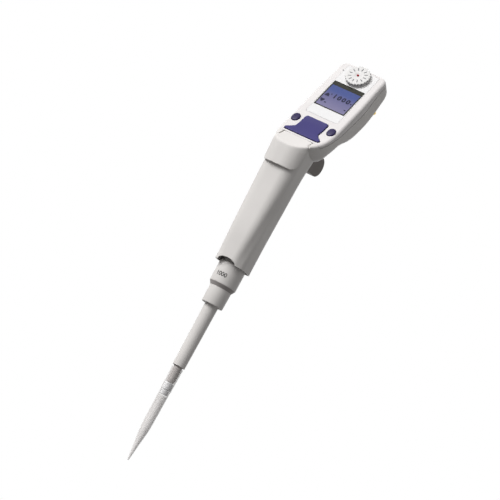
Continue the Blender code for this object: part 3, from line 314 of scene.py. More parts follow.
def button_zone(clearance, drop):
    """The ejector button's space, seen from the side: its skirt in front and a narrower tongue."""
    side = BUTTON_SIDE + clearance
    low = BUTTON_FOOT - clearance
    front = [(-OUTSIDE, low)] + arc(side - BUTTON_CORNER, low + BUTTON_CORNER, BUTTON_CORNER, -90, 0, 8)
    top = on_axis(-face(HEAD_LIP) - 0.01, HEAD_LIP + 0.03)[1]
    front += [(side, top), (-OUTSIDE, top)]
    if drop:
        roof = [on_axis(*point) for point in face_line(BUTTON_CAP, HEAD_LIP - ROOF_OVERRUN, BUTTON_SPLIT + clearance)]
        roof = [(y, z - drop - clearance) for y, z in roof]
        front = [(-OUTSIDE, roof[0][1])] + [(y, z) for y, z in roof if y < side - 0.0002]
        front += [(side, front[-1][1] + 0.0003), (side, top), (-OUTSIDE, top)]
    cap = [on_axis(*point) for point in face_line(BUTTON_CAP + clearance, HEAD_LIP, BUTTON_SPLIT + clearance)]
    if drop:
        cap = [(y, z - drop) for y, z in cap]
        cap.append((cap[-1][0], cap[-1][1] + drop))
    outer = on_axis(-face(BUTTON_SPLIT) - 0.012, BUTTON_SPLIT + clearance)
    cap += [outer, (-OUTSIDE, outer[1]), (-OUTSIDE, cap[0][1])]
    return combined(side_slab(front, WIDE, upright),
                    ("UNION", side_slab(cap, TONGUE_HALF_WIDTH + clearance, upright)))


def seam_block(shift, split_shift):
    """Everything in front of the seam between the front cover and the rear housing."""
    count = 40
    low = BUTTON_SPLIT - split_shift
    heights = [BUTTON_SPLIT + (HEAD_TOP - BUTTON_SPLIT) * step / count for step in range(count + 1)]
    line = [(reading(SEAM_DEPTHS, height) + shift, height) for height in heights]
    line[0] = (line[0][0], low)
    outline = [(-OUTSIDE, low)] + line + [(line[-1][0], HEAD_TOP + 0.01), (-OUTSIDE, HEAD_TOP + 0.01)]
    return side_slab(outline, WIDE, head)


def face_block(depth):
    """Everything in front of the face, or of a layer behind it."""
    line = face_line(depth, HEAD_LIP - 0.012, HEAD_TOP, 60)
    return side_slab(line + [(-OUTSIDE - 0.02, HEAD_TOP), (-OUTSIDE - 0.02, HEAD_LIP - 0.012)], WIDE, head)


def rounded(half_width, low, high, corner, steps=5):
    points = []
    for x, z, start in ((half_width - corner, high - corner, 0), (corner - half_width, high - corner, 90),
                        (corner - half_width, low + corner, 180), (half_width - corner, low + corner, 270)):
        points += arc(x, z, corner, start, start + 90, steps)
    return points


def round_slab(radius, centre_x, height, front, back, count=48, stretch=1.0):
    return face_slab([(centre_x + x, height + z) for x, z in circle(radius, count, stretch)], front, back)


BOSS_RADIUS = 0.0028
BOSS_LENGTH = 0.0070
BOSS_HEIGHT = HEAD_LIP + 0.0054
rod_low, rod_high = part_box("ejector_rod")
ROD_Y = (rod_low.y + rod_high.y) / 2 - AXIS_Y
ROD_PASSAGE = (rod_high.x - rod_low.x) / 2 + 2 * GAP
boss_top = on_axis(BUTTON_CAP - face(BOSS_HEIGHT), BOSS_HEIGHT)[1] + 0.0012


def post(radius, low, high):
    """An upright round post where the ejector rod runs."""
    return prism([(x, ROD_Y + y, low) for x, y in circle(radius, 40)], (0, 0, high - low), upright)


BATTERY_LOW = -0.0120
BATTERY_HIGH = 0.0210
BATTERY_HALF_WIDTH = 0.0112
BATTERY_START = 0.0100
CONTACT_X = 0.0168
CONTACT_HEIGHT = 0.0170
CONTACT_RADIUS = 0.0019
NOTCH_HALF_WIDTH = 0.0076
NOTCH_HEIGHT = 0.0033
ROD_FOOT = HANDLE_FOOT + NOTCH_HEIGHT + 0.0008
zone = button_zone(0.0, 0.0)
zone_wall = button_zone(GAP + HEAD_WALL, 0.0)
well = button_zone(0.0005, EJECT_TRAVEL)
well_wall = button_zone(GAP + HANDLE_WALL, EJECT_TRAVEL)
head_hollow = head_form(-HEAD_WALL, 36, 4)
handle_hollow = handle_form(-HANDLE_WALL, HANDLE_FOOT - 0.002, HANDLE_REACH - 0.001, 16, 6)
shell_hollow = combined(head_hollow, ("UNION", handle_hollow), ("DIFFERENCE", well_wall))
notch = prism([(x, -0.024, HANDLE_FOOT + z) for x, z in circle(NOTCH_HALF_WIDTH, 48, NOTCH_HEIGHT / NOTCH_HALF_WIDTH)],
              (0, 0.018, 0), upright)
battery_hole = rounded(BATTERY_HALF_WIDTH + 2 * GAP, BATTERY_LOW - GAP, BATTERY_HIGH + GAP, 0.002)
housing_mesh = combined(
    handle_form(0.0, HANDLE_FOOT, HANDLE_REACH),
    ("DIFFERENCE", face_block(0.0005)),
    ("UNION", head_form(0.0)),
    ("DIFFERENCE", well),
    ("DIFFERENCE", shell_hollow),
    ("DIFFERENCE", seam_block(2 * GAP, 0.0001)),
    ("DIFFERENCE", notch),
    ("DIFFERENCE", post(BOSS_RADIUS + GAP, HANDLE_FOOT + HANDLE_LENGTH / 2, boss_top)),
    ("DIFFERENCE", post(ROD_PASSAGE, ROD_FOOT, boss_top + 0.003)),
    ("DIFFERENCE", face_slab(battery_hole, BATTERY_START, 0.03)),
    ("DIFFERENCE", round_slab(CONTACT_RADIUS + GAP, CONTACT_X, CONTACT_HEIGHT, 0.014, 0.03)),
    ("DIFFERENCE", round_slab(CONTACT_RADIUS + GAP, -CONTACT_X, CONTACT_HEIGHT, 0.014, 0.03)))


def feed(tree, node, inputs):
    """Sets a node's inputs to values, or to the sockets or the nodes' first outputs that feed them."""
    for name, value in dict(inputs).items():
        if isinstance(value, bpy.types.Node):
            value = next(socket for socket in value.outputs if socket.enabled)
        if isinstance(value, bpy.types.NodeSocket):
            tree.links.new(value, node.inputs[name])
        else:
            node.inputs[name].default_value = value


def added(tree, kind, inputs=(), prefix="ShaderNode", **settings):
    """A new node with its settings and inputs."""
    node = tree.nodes.new(prefix + kind)
    for setting, value in settings.items():
        setattr(node, setting, value)
    feed(tree, node, inputs)
    return node


def mixed(tree, factor, first, second, blend="MIX"):
    return added(tree, "Mix", {"Factor": factor, "A": first, "B": second}, data_type="RGBA", blend_type=blend)


def moulded_grain():
    """Fine moulding grain of a matt plastic: a tone, a roughness and a height that change over the surface."""
    group = bpy.data.node_groups.new("moulded_grain", "ShaderNodeTree")
    for name, kind, value in (("Colour", "NodeSocketColor", (0.7, 0.7, 0.7, 1)), ("Shade", "NodeSocketFloat", 0.94),
                              ("Grain per metre", "NodeSocketFloat", 2600.0), ("Smooth", "NodeSocketFloat", 0.38),
                              ("Matt", "NodeSocketFloat", 0.52)):
        group.interface.new_socket(name, in_out="INPUT", socket_type=kind).default_value = value
    for name, kind in (("Colour", "NodeSocketColor"), ("Roughness", "NodeSocketFloat"), ("Height", "NodeSocketFloat")):
        group.interface.new_socket(name, in_out="OUTPUT", socket_type=kind)
    entry = added(group, "NodeGroupInput", prefix="").outputs
    place = added(group, "TexCoord").outputs["Object"]
    grain = added(group, "TexNoise", {"Detail": 3, "Vector": place, "Scale": entry["Grain per metre"]})
    cloud = added(group, "TexNoise", {"Scale": 28, "Detail": 2, "Vector": place})
    tone = added(group, "MapRange", {"Value": cloud, "To Min": entry["Shade"], "From Min": 0.3, "From Max": 0.6})
    rough = added(group, "MapRange", {"Value": grain, "To Min": entry["Smooth"], "To Max": entry["Matt"],
                                      "From Min": 0.3, "From Max": 0.7})
    added(group, "NodeGroupOutput", {"Colour": mixed(group, 1, entry["Colour"], tone, "MULTIPLY"),
                                     "Roughness": rough, "Height": grain}, "")
    return group


grain_group = moulded_grain()


def new_material(name):
    """A material, its node tree and its shader."""
    made = bpy.data.materials.new(name)
    made.use_nodes = True
    return made, made.node_tree, made.node_tree.nodes["Principled BSDF"]


def grained(name, colour, shade, grain, smooth, matt):
    """A material with the moulding grain, its tree, its shader and the grain's outputs."""
    made, tree, shader = new_material(name)
    surface = added(tree, "Group", {"Colour": (*colour, 1), "Shade": shade, "Grain per metre": grain,
                                    "Smooth": smooth, "Matt": matt}, node_tree=grain_group).outputs
    feed(tree, shader, {"Base Color": surface["Colour"], "Roughness": surface["Roughness"]})
    return made, tree, shader, surface


def plastic(name, colour, shade=0.95, grain=2600.0, smooth=0.38, matt=0.52, bump=0.00002, specular=0.12):
    """A moulded plastic of one colour with its grain."""
    made, tree, shader, surface = grained(name, colour, shade, grain, smooth, matt)
    relief = added(tree, "Bump", {"Distance": bump, "Strength": 0.6, "Height": surface["Height"]})
    feed(tree, shader, {"Normal": relief, "Specular IOR Level": specular})
    return made


def finished(name, mesh, material, body, slot, *nodes, angle=32):
    """A piece of the object: smooth but for its real edges, on its body, in place of its solids."""
    mesh.name = name
    mesh.materials.clear()
    mesh.materials.append(material)
    mesh.shade_smooth()
    mesh.set_sharp_from_angle(angle=math.radians(angle))
    piece = linked(name, mesh)
    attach(piece, body)
    if nodes:
        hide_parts(*nodes)
    return piece


grey_plastic = plastic("housing_grey", (0.70, 0.675, 0.655))
finished("rear_shell", housing_mesh, grey_plastic, "instrument", "housing_plastic", "rear_housing")

# Front cover: the near-white shell of the head, with a soft front edge all round. It is open for the
# display, the dial's shaft, the two soft keys and the rocker, and stepped for the white panel.
PANEL_LOW = -0.0228
PANEL_HIGH = 0.0316
PANEL_THICKNESS = 0.0007
DISPLAY_HALF = 0.0137
PANEL_HALF_WIDTH = DISPLAY_HALF + 0.0004
DIAL_HEIGHT = 0.0240
SHAFT_RADIUS = 0.0029
KEY_X = 0.0160
KEY_HEIGHT = -0.0325
KEY_HALF_WIDTH = 0.00315
KEY_HALF_LENGTH = 0.0040
ROCKER_TOP = -0.0270
ROCKER_BOTTOM = -0.0482
ROCKER_HALF_WIDTH = 0.0100
ROCKER_WING = 0.0156
ROCKER_PIVOT = -0.0400
ROCKER_CLEARANCE = 0.00045


def rocker_outline(clearance):
    """The rocker's outline: a block with rounded shoulders above two pointed wings."""
    half = ROCKER_HALF_WIDTH + clearance
    corner = 0.0020
    tip = 0.0017 + clearance
    tip_x = ROCKER_WING + clearance - tip
    tip_z = ROCKER_BOTTOM - clearance + tip
    right = arc(half - corner, ROCKER_TOP + clearance - corner, corner, 90, 0, 6)
    for step in range(12):
        share = step / 11
        right.append((half + (tip_x + 0.643 * tip - half) * share ** 1.6,
                      ROCKER_PIVOT + (tip_z + 0.766 * tip - ROCKER_PIVOT) * share))
    right += arc(tip_x, tip_z, tip, 50, -90, 8)[1:]
    return right + [(-x, z) for x, z in reversed(right)]


display_hole = rounded(DISPLAY_HALF, -DISPLAY_HALF, DISPLAY_HALF, 0.0006)
key_hole = (KEY_HEIGHT, -0.006, 0.004, 40, (KEY_HALF_LENGTH + GAP) / (KEY_HALF_WIDTH + GAP))
front_hollow = combined(head_form(-HEAD_WALL, 36, 4), ("DIFFERENCE", zone_wall))
cover_mesh = combined(
    head_form(0.0),
    ("INTERSECT", seam_block(0.0, 0.0)),
    ("DIFFERENCE", button_zone(0.0001, 0.0)),
    ("DIFFERENCE", front_hollow),
    ("DIFFERENCE", face_slab(rounded(PANEL_HALF_WIDTH + 0.00015, PANEL_LOW - 0.00015, PANEL_HIGH + 0.00015, 0.0013),
                             -0.003, PANEL_THICKNESS + GAP)),
    ("DIFFERENCE", face_slab(display_hole, -0.003, HEAD_WALL + 0.001)),
    ("DIFFERENCE", round_slab(SHAFT_RADIUS + GAP, 0, DIAL_HEIGHT, -0.004, 0.004)),
    ("DIFFERENCE", face_slab(rocker_outline(ROCKER_CLEARANCE), -0.010, 0.006)),
    ("DIFFERENCE", round_slab(KEY_HALF_WIDTH + GAP, KEY_X, *key_hole)),
    ("DIFFERENCE", round_slab(KEY_HALF_WIDTH + GAP, -KEY_X, *key_hole)))
cover_plastic = plastic("cover_white", (0.725, 0.698, 0.692), smooth=0.32, matt=0.44)
finished("front_cover", cover_mesh, cover_plastic, "instrument", "cover_plastic", "head_front_cover")

# Ejector button: a skirt round the front of the handle's neck, with a cap that carries the face on down
# to the lip. It is moulded in the housing's grey plastic, and its edges are soft.
BUTTON_PROUD = 0.0018
SOFT_EDGE_VOXEL = 0.0003
SKIRT_BULGE = 0.0013
SKIRT_CORNER = 0.0138
LIP_ROUNDS = 70
LIP_REACH = 0.0042


def modified(mesh, kind, settings, weights=None):
    """A mesh after one modifier, which may be held to some vertices by their weights."""
    piece = linked("work", mesh)
    modifier = piece.modifiers.new("step", kind)
    for setting, value in settings.items():
        setattr(modifier, setting, value)
    if weights:
        group = piece.vertex_groups.new(name="held")
        for index, weight in weights.items():
            group.add([index], weight, "REPLACE")
        modifier.vertex_group = "held"
    return evaluated(piece)


def softened(mesh, voxel, rounds, wide_edges=(), wide_rounds=0, reach=0.0):
    """The same form with its edges rubbed soft, and far softer near the points of some edges."""
    made = modified(mesh, "REMESH", {"mode": "VOXEL", "voxel_size": voxel})
    if wide_edges:
        tree = kdtree.KDTree(len(wide_edges))
        for index, point in enumerate(wide_edges):
            tree.insert(point, index)
        tree.balance()
        weights = {}
        for vertex in made.vertices:
            apart = tree.find(vertex.co)[2]
            if apart < reach:
                weights[vertex.index] = min(1.0, 3 * (1 - apart / reach))
        made = modified(made, "SMOOTH", {"factor": 0.5, "iterations": wide_rounds}, weights)
    return modified(made, "SMOOTH", {"factor": 0.5, "iterations": rounds})


roof = [on_axis(*point) for point in face_line(BUTTON_CAP, HEAD_LIP - ROOF_OVERRUN, BUTTON_SPLIT + ROOF_OVERRUN)]
above_roof = side_slab(roof + [(roof[-1][0], 0.4), (-OUTSIDE, 0.4), (-OUTSIDE, roof[0][1])], WIDE, upright)
button_hollow = combined(handle_form(GAP, HANDLE_FOOT, HANDLE_REACH, 20, 8), ("DIFFERENCE", above_roof))
skirt_sections = []
for level in range(13):
    height = BUTTON_FOOT + (HANDLE_REACH - BUTTON_FOOT) * level / 12
    share = (height - HANDLE_FOOT) / HANDLE_LENGTH
    half = reading(HANDLE_WIDTHS, share) + BUTTON_PROUD
    skirt_sections.append((height, ring(half, -reading(HANDLE_FRONTS, share) - BUTTON_PROUD - SKIRT_BULGE,
                                        reading(HANDLE_BACKS, share), SKIRT_CORNER, HANDLE_CORNER,
                                        0.0, 0.0, 24)))
button_mesh = combined(
    loft(skirt_sections, upright),
    ("DIFFERENCE", face_block(0.0)),
    ("UNION", head_form(0.0)),
    ("DIFFERENCE", button_hollow),
    ("INTERSECT", zone),
    ("UNION", post(BOSS_RADIUS, boss_top - BOSS_LENGTH, boss_top)))
lip_work = bmesh.new()
lip_work.from_mesh(button_mesh)
lip_points = []
for edge in lip_work.edges:
    ends = [head.inverted() @ vertex.co for vertex in edge.verts]
    if all(abs(end.y + face(end.z)) < 0.0004 and end.z < BUTTON_SPLIT - 0.0008 for end in ends):
        if len(edge.link_faces) == 2 and edge.calc_face_angle() > math.radians(35):
            steps = max(1, round(edge.calc_length() / 0.0005))
            lip_points += [edge.verts[0].co.lerp(edge.verts[1].co, step / steps) for step in range(steps + 1)]
lip_work.free()
button_mesh = softened(button_mesh, SOFT_EDGE_VOXEL, 2, lip_points, LIP_ROUNDS, LIP_REACH)
finished("eject_button", button_mesh, grey_plastic, "ejector", "housing_plastic", "ejector_button", angle=60)

# Panel: a thin white plate let into the cover round the display and under the dial. Its surface is a
# little glossier than the cover's.
panel_mesh = combined(
    face_slab(rounded(PANEL_HALF_WIDTH, PANEL_LOW, PANEL_HIGH, 0.0012), -0.00005, PANEL_THICKNESS),
    ("DIFFERENCE", face_slab(display_hole, -0.002, 0.002)),
    ("DIFFERENCE", round_slab(SHAFT_RADIUS + GAP, 0, DIAL_HEIGHT, -0.004, 0.004)))
panel_white = plastic("panel_white", (0.745, 0.737, 0.737), 0.98, smooth=0.22, matt=0.3, bump=0.00001, specular=0.2)
finished("white_panel", panel_mesh, panel_white, "instrument", "panel_white", "face_panel")

# Display: a liquid-crystal screen bonded behind a glass window, flush with the panel. A black frame runs
# round it, with a wider band on top; the figures are plain dark segments of the screen.
SCREEN_BAND = 0.0095
SCREEN_HALF = 0.0126
FIGURE_HEIGHT = 0.0042


def calculated(tree, operation, *values):
    return added(tree, "Math", dict(enumerate(values)), operation=operation)


def screen_glass():
    """The picture behind the glass: the frame by distance from the middle, the screen by height."""
    made, tree, shader = new_material("screen_glass")
    place = added(tree, "TexCoord").outputs["Object"]
    back = head.inverted()
    turn = added(tree, "Mapping", {"Rotation": back.to_euler(), "Location": back.to_translation(), "Vector": place})
    apart = added(tree, "SeparateXYZ", {"Vector": turn}).outputs
    beside = calculated(tree, "GREATER_THAN", calculated(tree, "ABSOLUTE", apart["X"]), SCREEN_HALF)
    below = calculated(tree, "LESS_THAN", apart["Z"], -SCREEN_HALF)
    above = calculated(tree, "GREATER_THAN", apart["Z"], SCREEN_BAND)
    border = calculated(tree, "MAXIMUM", calculated(tree, "MAXIMUM", beside, below), above)
    height = added(tree, "MapRange", {"From Min": -SCREEN_HALF, "From Max": SCREEN_BAND, "Value": apart["Z"]})
    glow = added(tree, "ValToRGB", {"Fac": height})
    ramp = glow.color_ramp.elements
    ramp[0].color = (0.195, 0.18, 0.31, 1)
    ramp[1].color = (0.05, 0.075, 0.24, 1)
    ramp.new(0.50).color = (0.125, 0.122, 0.255, 1)
    ramp.new(0.76).color = (0.055, 0.08, 0.25, 1)
    mottle = added(tree, "TexNoise", {"Scale": 900, "Vector": place})
    faint = added(tree, "MapRange", {"To Min": 0.92, "Value": mottle})
    lit = mixed(tree, 1, glow, faint, "MULTIPLY")
    feed(tree, shader, {"Base Color": mixed(tree, border, lit, (0.020, 0.020, 0.014, 1)), "Roughness": 0.18,
                        "Specular IOR Level": 0.25})
    return made


window_outline = rounded(DISPLAY_HALF - 0.0001, 0.0001 - DISPLAY_HALF, DISPLAY_HALF - 0.0001, 0.0005)
finished("screen", face_slab(window_outline, 0.0, HEAD_WALL), screen_glass(), "instrument", "display_blue",
         "display_window")


def lettering(text, size, matrix, wrap=0.0, bold=0.0):
    """Plain figures as a thin flat solid in the face of a piece, or wrapped round a cylinder."""
    curve = bpy.data.curves.new("figures", "FONT")
    curve.body = text
    curve.size = size
    curve.align_x = "CENTER"
    curve.align_y = "CENTER"
    curve.extrude = 0.00003
    curve.offset = bold
    curve.resolution_u = 4
    mesh = evaluated(linked("figures", curve))
    if wrap:
        for vertex in mesh.vertices:
            x, y, z = vertex.co
            radius = wrap + z
            vertex.co = (radius * math.sin(x / wrap), -radius * math.cos(x / wrap), y)
    else:
        mesh.transform(Matrix.Rotation(math.pi / 2, 4, "X"))
    mesh.transform(matrix)
    return mesh


def merged(meshes):
    """Several meshes in one."""
    work = bmesh.new()
    for mesh in meshes:
        work.from_mesh(mesh)
    made = bpy.data.meshes.new("merged")
    work.to_mesh(made)
    work.free()
    return made


SCREEN_LIFT = -0.00004
ink_blue = plastic("screen_ink", (0.014, 0.014, 0.045), shade=0.9, bump=0.0, smooth=0.3, matt=0.35)
figures = [lettering(digit, FIGURE_HEIGHT * 1.38, head @ Matrix.Translation((x, SCREEN_LIFT, -0.0004)), 0.0, 0.00028)
           for digit, x in zip("1000", (-0.0037, 0.00025, 0.0042, 0.0081))]
shapes = [[(x - 0.0020, z - 0.0015 * up), (x + 0.0020, z - 0.0015 * up), (x + 0.0015, z + 0.0002 * up),
           (x, z + 0.0020 * up), (x - 0.0015, z + 0.0002 * up)]
          for x, z, up in ((-0.0099, -0.0011, 1), (-0.0104, -0.0075, -1))]
shapes += [[(x - width, z - 0.0005), (x + width, z - 0.0005), (x + width, z + 0.0005), (x - width, z + 0.0005)]
           for x, z, width in ((-0.0072, 0.0006, 0.0005), (-0.0069, -0.0087, 0.0008), (0.0109, -0.0086, 0.0007),
                               (0.0112, -0.0012, 0.0005))]
figures += [face_slab(shape, SCREEN_LIFT - 0.00003, SCREEN_LIFT + 0.00003) for shape in shapes]
finished("screen_figures", merged(figures), ink_blue, "instrument", "inner_dark")

# Dial: a white moulded knob with a scalloped edge and a dished top. Thin grey marks are printed round it,
# and a small dark red cap closes its middle.
DIAL_RADIUS = 0.0097
DIAL_PROUD = 0.0030
DIAL_NOTCHES = 24
DIAL_NOTCH_DEPTH = 0.0006
DIAL_FOOT_RADIUS = 0.0066
DIAL_UNDER = -0.0021
DIAL_MARKS = 12
dial_front = -(GAP + DIAL_PROUD)


def dial_body():
    """Rings of the knob from its foot to its middle, with the edge scalloped by a cosine."""
    count = DIAL_NOTCHES * 10
    profile = [(DIAL_FOOT_RADIUS - 0.0001, -GAP), (DIAL_FOOT_RADIUS, -GAP - 0.0001), (DIAL_FOOT_RADIUS, DIAL_UNDER),
               (DIAL_RADIUS - 0.0005, DIAL_UNDER), (DIAL_RADIUS, DIAL_UNDER - 0.0003),
               (DIAL_RADIUS, dial_front + 0.0004),
               (DIAL_RADIUS - 0.00008, dial_front + 0.00025), (DIAL_RADIUS - 0.0003, dial_front + 0.00006),
               (DIAL_RADIUS - 0.0009, dial_front), (DIAL_RADIUS - 0.0022, dial_front + 0.00003),
               (0.0045, dial_front + 0.00012), (0.0015, dial_front + 0.00014), (0.0011, dial_front + 0.0005)]
    rings = []
    for radius, depth in profile:
        bite = DIAL_NOTCH_DEPTH * max(0.0, min(1.0, (radius - DIAL_RADIUS + 0.0012) / 0.0008))
        points = []
        for step in range(count):
            angle = math.tau * step / count
            reach = radius - bite * (0.5 - 0.5 * math.cos(DIAL_NOTCHES * angle)) ** 2
            points.append(head @ Vector((reach * math.cos(angle), depth, DIAL_HEIGHT + reach * math.sin(angle))))
        rings.append(points)
    return skinned(rings)


dial_white = plastic("dial_white", (0.70, 0.69, 0.68), shade=0.97, smooth=0.28, matt=0.36, bump=0.00001)
finished("dial_knob", dial_body(), dial_white, "dial", "panel_white", "selection_dial", angle=50)


def spaced_marks(count, radius, mark_length, mark_width):
    """Marks set round a circle by Geometry Nodes, as one plain mesh in the circle's own plane."""
    tree = bpy.data.node_groups.new("spaced_marks", "GeometryNodeTree")
    tree.interface.new_socket("Geometry", in_out="OUTPUT", socket_type="NodeSocketGeometry")
    sizes = {}
    for name, kind, value in (("Count", "Int", count), ("Radius", "Float", radius),
                              ("Mark length", "Float", mark_length), ("Mark width", "Float", mark_width)):
        sizes[tree.interface.new_socket(name, in_out="INPUT", socket_type="NodeSocket" + kind).identifier] = value
    entry = added(tree, "NodeGroupInput", prefix="").outputs
    loop = added(tree, "MeshCircle", {"Vertices": entry["Count"], "Radius": entry["Radius"]}, "GeometryNode")
    spot = added(tree, "InputPosition", prefix="GeometryNode")
    outward = added(tree, "AlignEulerToVector", {"Vector": spot}, "FunctionNode", axis="X", pivot_axis="Z")
    size = added(tree, "CombineXYZ", {"X": entry["Mark length"], "Y": entry["Mark width"], "Z": 0.00006})
    mark = added(tree, "MeshCube", {"Size": size}, "GeometryNode")
    spread = added(tree, "InstanceOnPoints", {"Points": loop, "Instance": mark, "Rotation": outward}, "GeometryNode")
    real = added(tree, "RealizeInstances", {"Geometry": spread}, "GeometryNode")
    added(tree, "NodeGroupOutput", {"Geometry": real}, "")
    holder = linked("marks", bpy.data.meshes.new("marks"))
    modifier = holder.modifiers.new("marks", "NODES")
    modifier.node_group = tree
    for identifier, value in sizes.items():
        modifier[identifier] = value
    return evaluated(holder)


print_grey = plastic("print_grey", (0.17, 0.17, 0.18), shade=0.9, bump=0.0)
dial_top = head @ Matrix.Translation((0, dial_front + 0.00004, DIAL_HEIGHT)) @ Matrix.Rotation(math.pi / 2, 4, "X")
long_marks = spaced_marks(DIAL_MARKS, 0.0062, 0.0026, 0.0007)
long_marks.transform(dial_top)
finished("dial_marks", long_marks, print_grey, "dial", "inner_dark")
cap_red = plastic("cap_red", (0.36, 0.018, 0.03), smooth=0.2, matt=0.3)
cap_profile = [(0.0, 0.0), (0.00085, 0.0), (0.00085, 0.0004), (0.0006, 0.0007), (0.0, 0.0008)]


def turned(profile, matrix, count=96):
    """Turns a profile of (radius, height), from its foot to its top, about its own upright axis."""
    rings = [[matrix @ Vector((x, y, height)) for x, y in circle(radius, count if radius > 1e-6 else 1)]
             for radius, height in profile]
    return skinned(rings, len(rings[0]) > 1 and len(rings[-1]) > 1)


cap_place = head @ Matrix.Translation((0, dial_front + 0.0003, DIAL_HEIGHT)) @ Matrix.Rotation(math.pi / 2, 4, "X")
finished("dial_dot", turned(cap_profile, cap_place, 32), cap_red, "dial", "cap_red", "dial_cap")
index_mark = face_slab([(-0.0150, 0.0249), (-0.0134, 0.0255), (-0.0150, 0.0261)], -0.00012, 0.00005)
finished("dial_index", index_mark, print_grey, "instrument", "inner_dark")

# Soft keys: two small domed ovals of dark blue plastic, one each side of the rocker.
key_blue = plastic("key_blue", (0.029, 0.022, 0.078), shade=0.9, smooth=0.3, matt=0.4, specular=0.15)


def oval_key(sign):
    """Rings of an oval key from its skirt behind the face to its crown."""
    front = -face(KEY_HEIGHT)
    profile = [(1.0, 0.0012), (1.0, front - 0.0003), (0.975, front - 0.00062), (0.90, front - 0.00085),
               (0.7, front - 0.00100), (0.35, front - 0.00108)]
    return skinned([[head @ Vector((sign * KEY_X + x, depth, KEY_HEIGHT + z))
                     for x, z in circle(KEY_HALF_WIDTH * share, 64, KEY_HALF_LENGTH / KEY_HALF_WIDTH)]
                    for share, depth in profile])


finished("left_soft_key", oval_key(-1), key_blue, "left_key", "button_blue", "softkey_left", angle=50)
finished("right_soft_key", oval_key(1), key_blue, "right_key", "button_blue", "softkey_right", angle=50)

# Rocker: one blue-violet button with wings, which tips about a pin behind its waist. Its skin follows the
# curve of the face, stands a little proud of it and has soft edges.
ROCKER_PROUD = 0.0010
ROCKER_THICKNESS = 0.0036
rocker_skin = face_line(-ROCKER_PROUD, BUTTON_SPLIT - 0.004, ROCKER_TOP + 0.004)
rocker_back = face_line(ROCKER_THICKNESS - ROCKER_PROUD, BUTTON_SPLIT - 0.004, ROCKER_TOP + 0.004)
rocker_mesh = combined(face_slab(rocker_outline(0.0), -0.010, 0.006),
                       ("INTERSECT", side_slab(rocker_skin + list(reversed(rocker_back)), WIDE, head)))
rocker_mesh = softened(rocker_mesh, 0.00025, 5)
rocker_blue = plastic("rocker_blue", (0.044, 0.037, 0.160), shade=0.92, smooth=0.3, matt=0.4, specular=0.2)
finished("rocker_key", rocker_mesh, rocker_blue, "rocker", "button_blue", "rocker_button", angle=60)

# Finger hook: a dark grey moulded rest screwed to the back of the neck, with a full rounded nose. Its
# flat underside is the face that a finger carries the pipette by.
HOOK_HALF_WIDTH = 0.0075
HOOK_REACH = 0.0373
HOOK_THICKNESS = 0.0155
HOOK_SEAT = 0.0240
HOOK_NOSE = 0.0078
rest = -TIP_END
hook_outline = [(0.004, rest + 0.0020), (0.0150, rest + 0.0006), (0.0175, rest), (HOOK_SEAT + 0.0055, rest)]
hook_outline += arc(HOOK_REACH - HOOK_NOSE, rest + HOOK_NOSE, HOOK_NOSE, -90, 81, 24)[1:]
hook_outline += [(HOOK_REACH - HOOK_NOSE, rest + HOOK_THICKNESS), (0.020, rest + HOOK_THICKNESS - 0.0004),
                 (0.004, rest + HOOK_THICKNESS - 0.0020)]
hook_mesh = combined(side_slab(hook_outline, HOOK_HALF_WIDTH, upright),
                     ("DIFFERENCE", handle_form(GAP, HANDLE_FOOT, HANDLE_REACH)),
                     ("DIFFERENCE", head_form(GAP)))
hook_mesh = softened(hook_mesh, 0.00035, 14)
hook_grey = plastic("hook_grey", (0.200, 0.180, 0.168), shade=0.88, smooth=0.42, matt=0.58, bump=0.00004)
finished("hook", hook_mesh, hook_grey, "instrument", "hook_grey", "finger_hook", angle=60)

# Battery cover: the panel of the head's back that slides off the battery, in the housing's plastic.
cover_form = combined(head_form(0.0),
                      ("INTERSECT", face_slab(rounded(BATTERY_HALF_WIDTH + GAP, BATTERY_LOW, BATTERY_HIGH, 0.0017, 8),
                                              BATTERY_START, 0.03)),
                      ("DIFFERENCE", head_form(-HEAD_WALL, 36, 4)))
finished("battery_door", cover_form, grey_plastic, "battery_door", "housing_plastic", "battery_cover")

# Charging contacts: two gold-plated pins with rounded ends, at the upper back corners of the head.

def metal(name, colour, smooth, matt, scale=900.0, stretch=(1, 1, 1)):
    """A bare or plated metal with fine turning or drawing marks."""
    made, tree, shader = new_material(name)
    drawn = added(tree, "Mapping", {"Scale": stretch, "Vector": added(tree, "TexCoord").outputs["Object"]})
    marks = added(tree, "TexNoise", {"Scale": scale, "Detail": 4, "Vector": drawn})
    rough = added(tree, "MapRange", {"To Min": smooth, "To Max": matt, "Value": marks})
    tint = mixed(tree, marks, (*colour, 1), (*[channel * 0.8 for channel in colour], 1))
    feed(tree, shader, {"Roughness": rough, "Base Color": tint, "Metallic": 1})
    return made


gold = metal("contact_gold", (0.78, 0.56, 0.16), 0.18, 0.32)
CONTACT_TIP = reading(HEAD_DEPTHS, CONTACT_HEIGHT) + 0.0030
CONTACT_ROUND = 0.0009
profile = [(0.0, 0.0120), (CONTACT_RADIUS, 0.0120)]
profile += arc(CONTACT_RADIUS - CONTACT_ROUND, CONTACT_TIP - CONTACT_ROUND, CONTACT_ROUND, 0, 90, 5)
profile.append((0.0, CONTACT_TIP))
for name, sign, node in (("left_contact", -1, "charging_contact_left"), ("right_contact", 1, "charging_contact_right")):
    place = head @ Matrix.Translation((sign * CONTACT_X, 0, CONTACT_HEIGHT)) @ Matrix.Rotation(-math.pi / 2, 4, "X")
    finished(name, turned(profile, place, 48), gold, "instrument", "contact_gold", node)

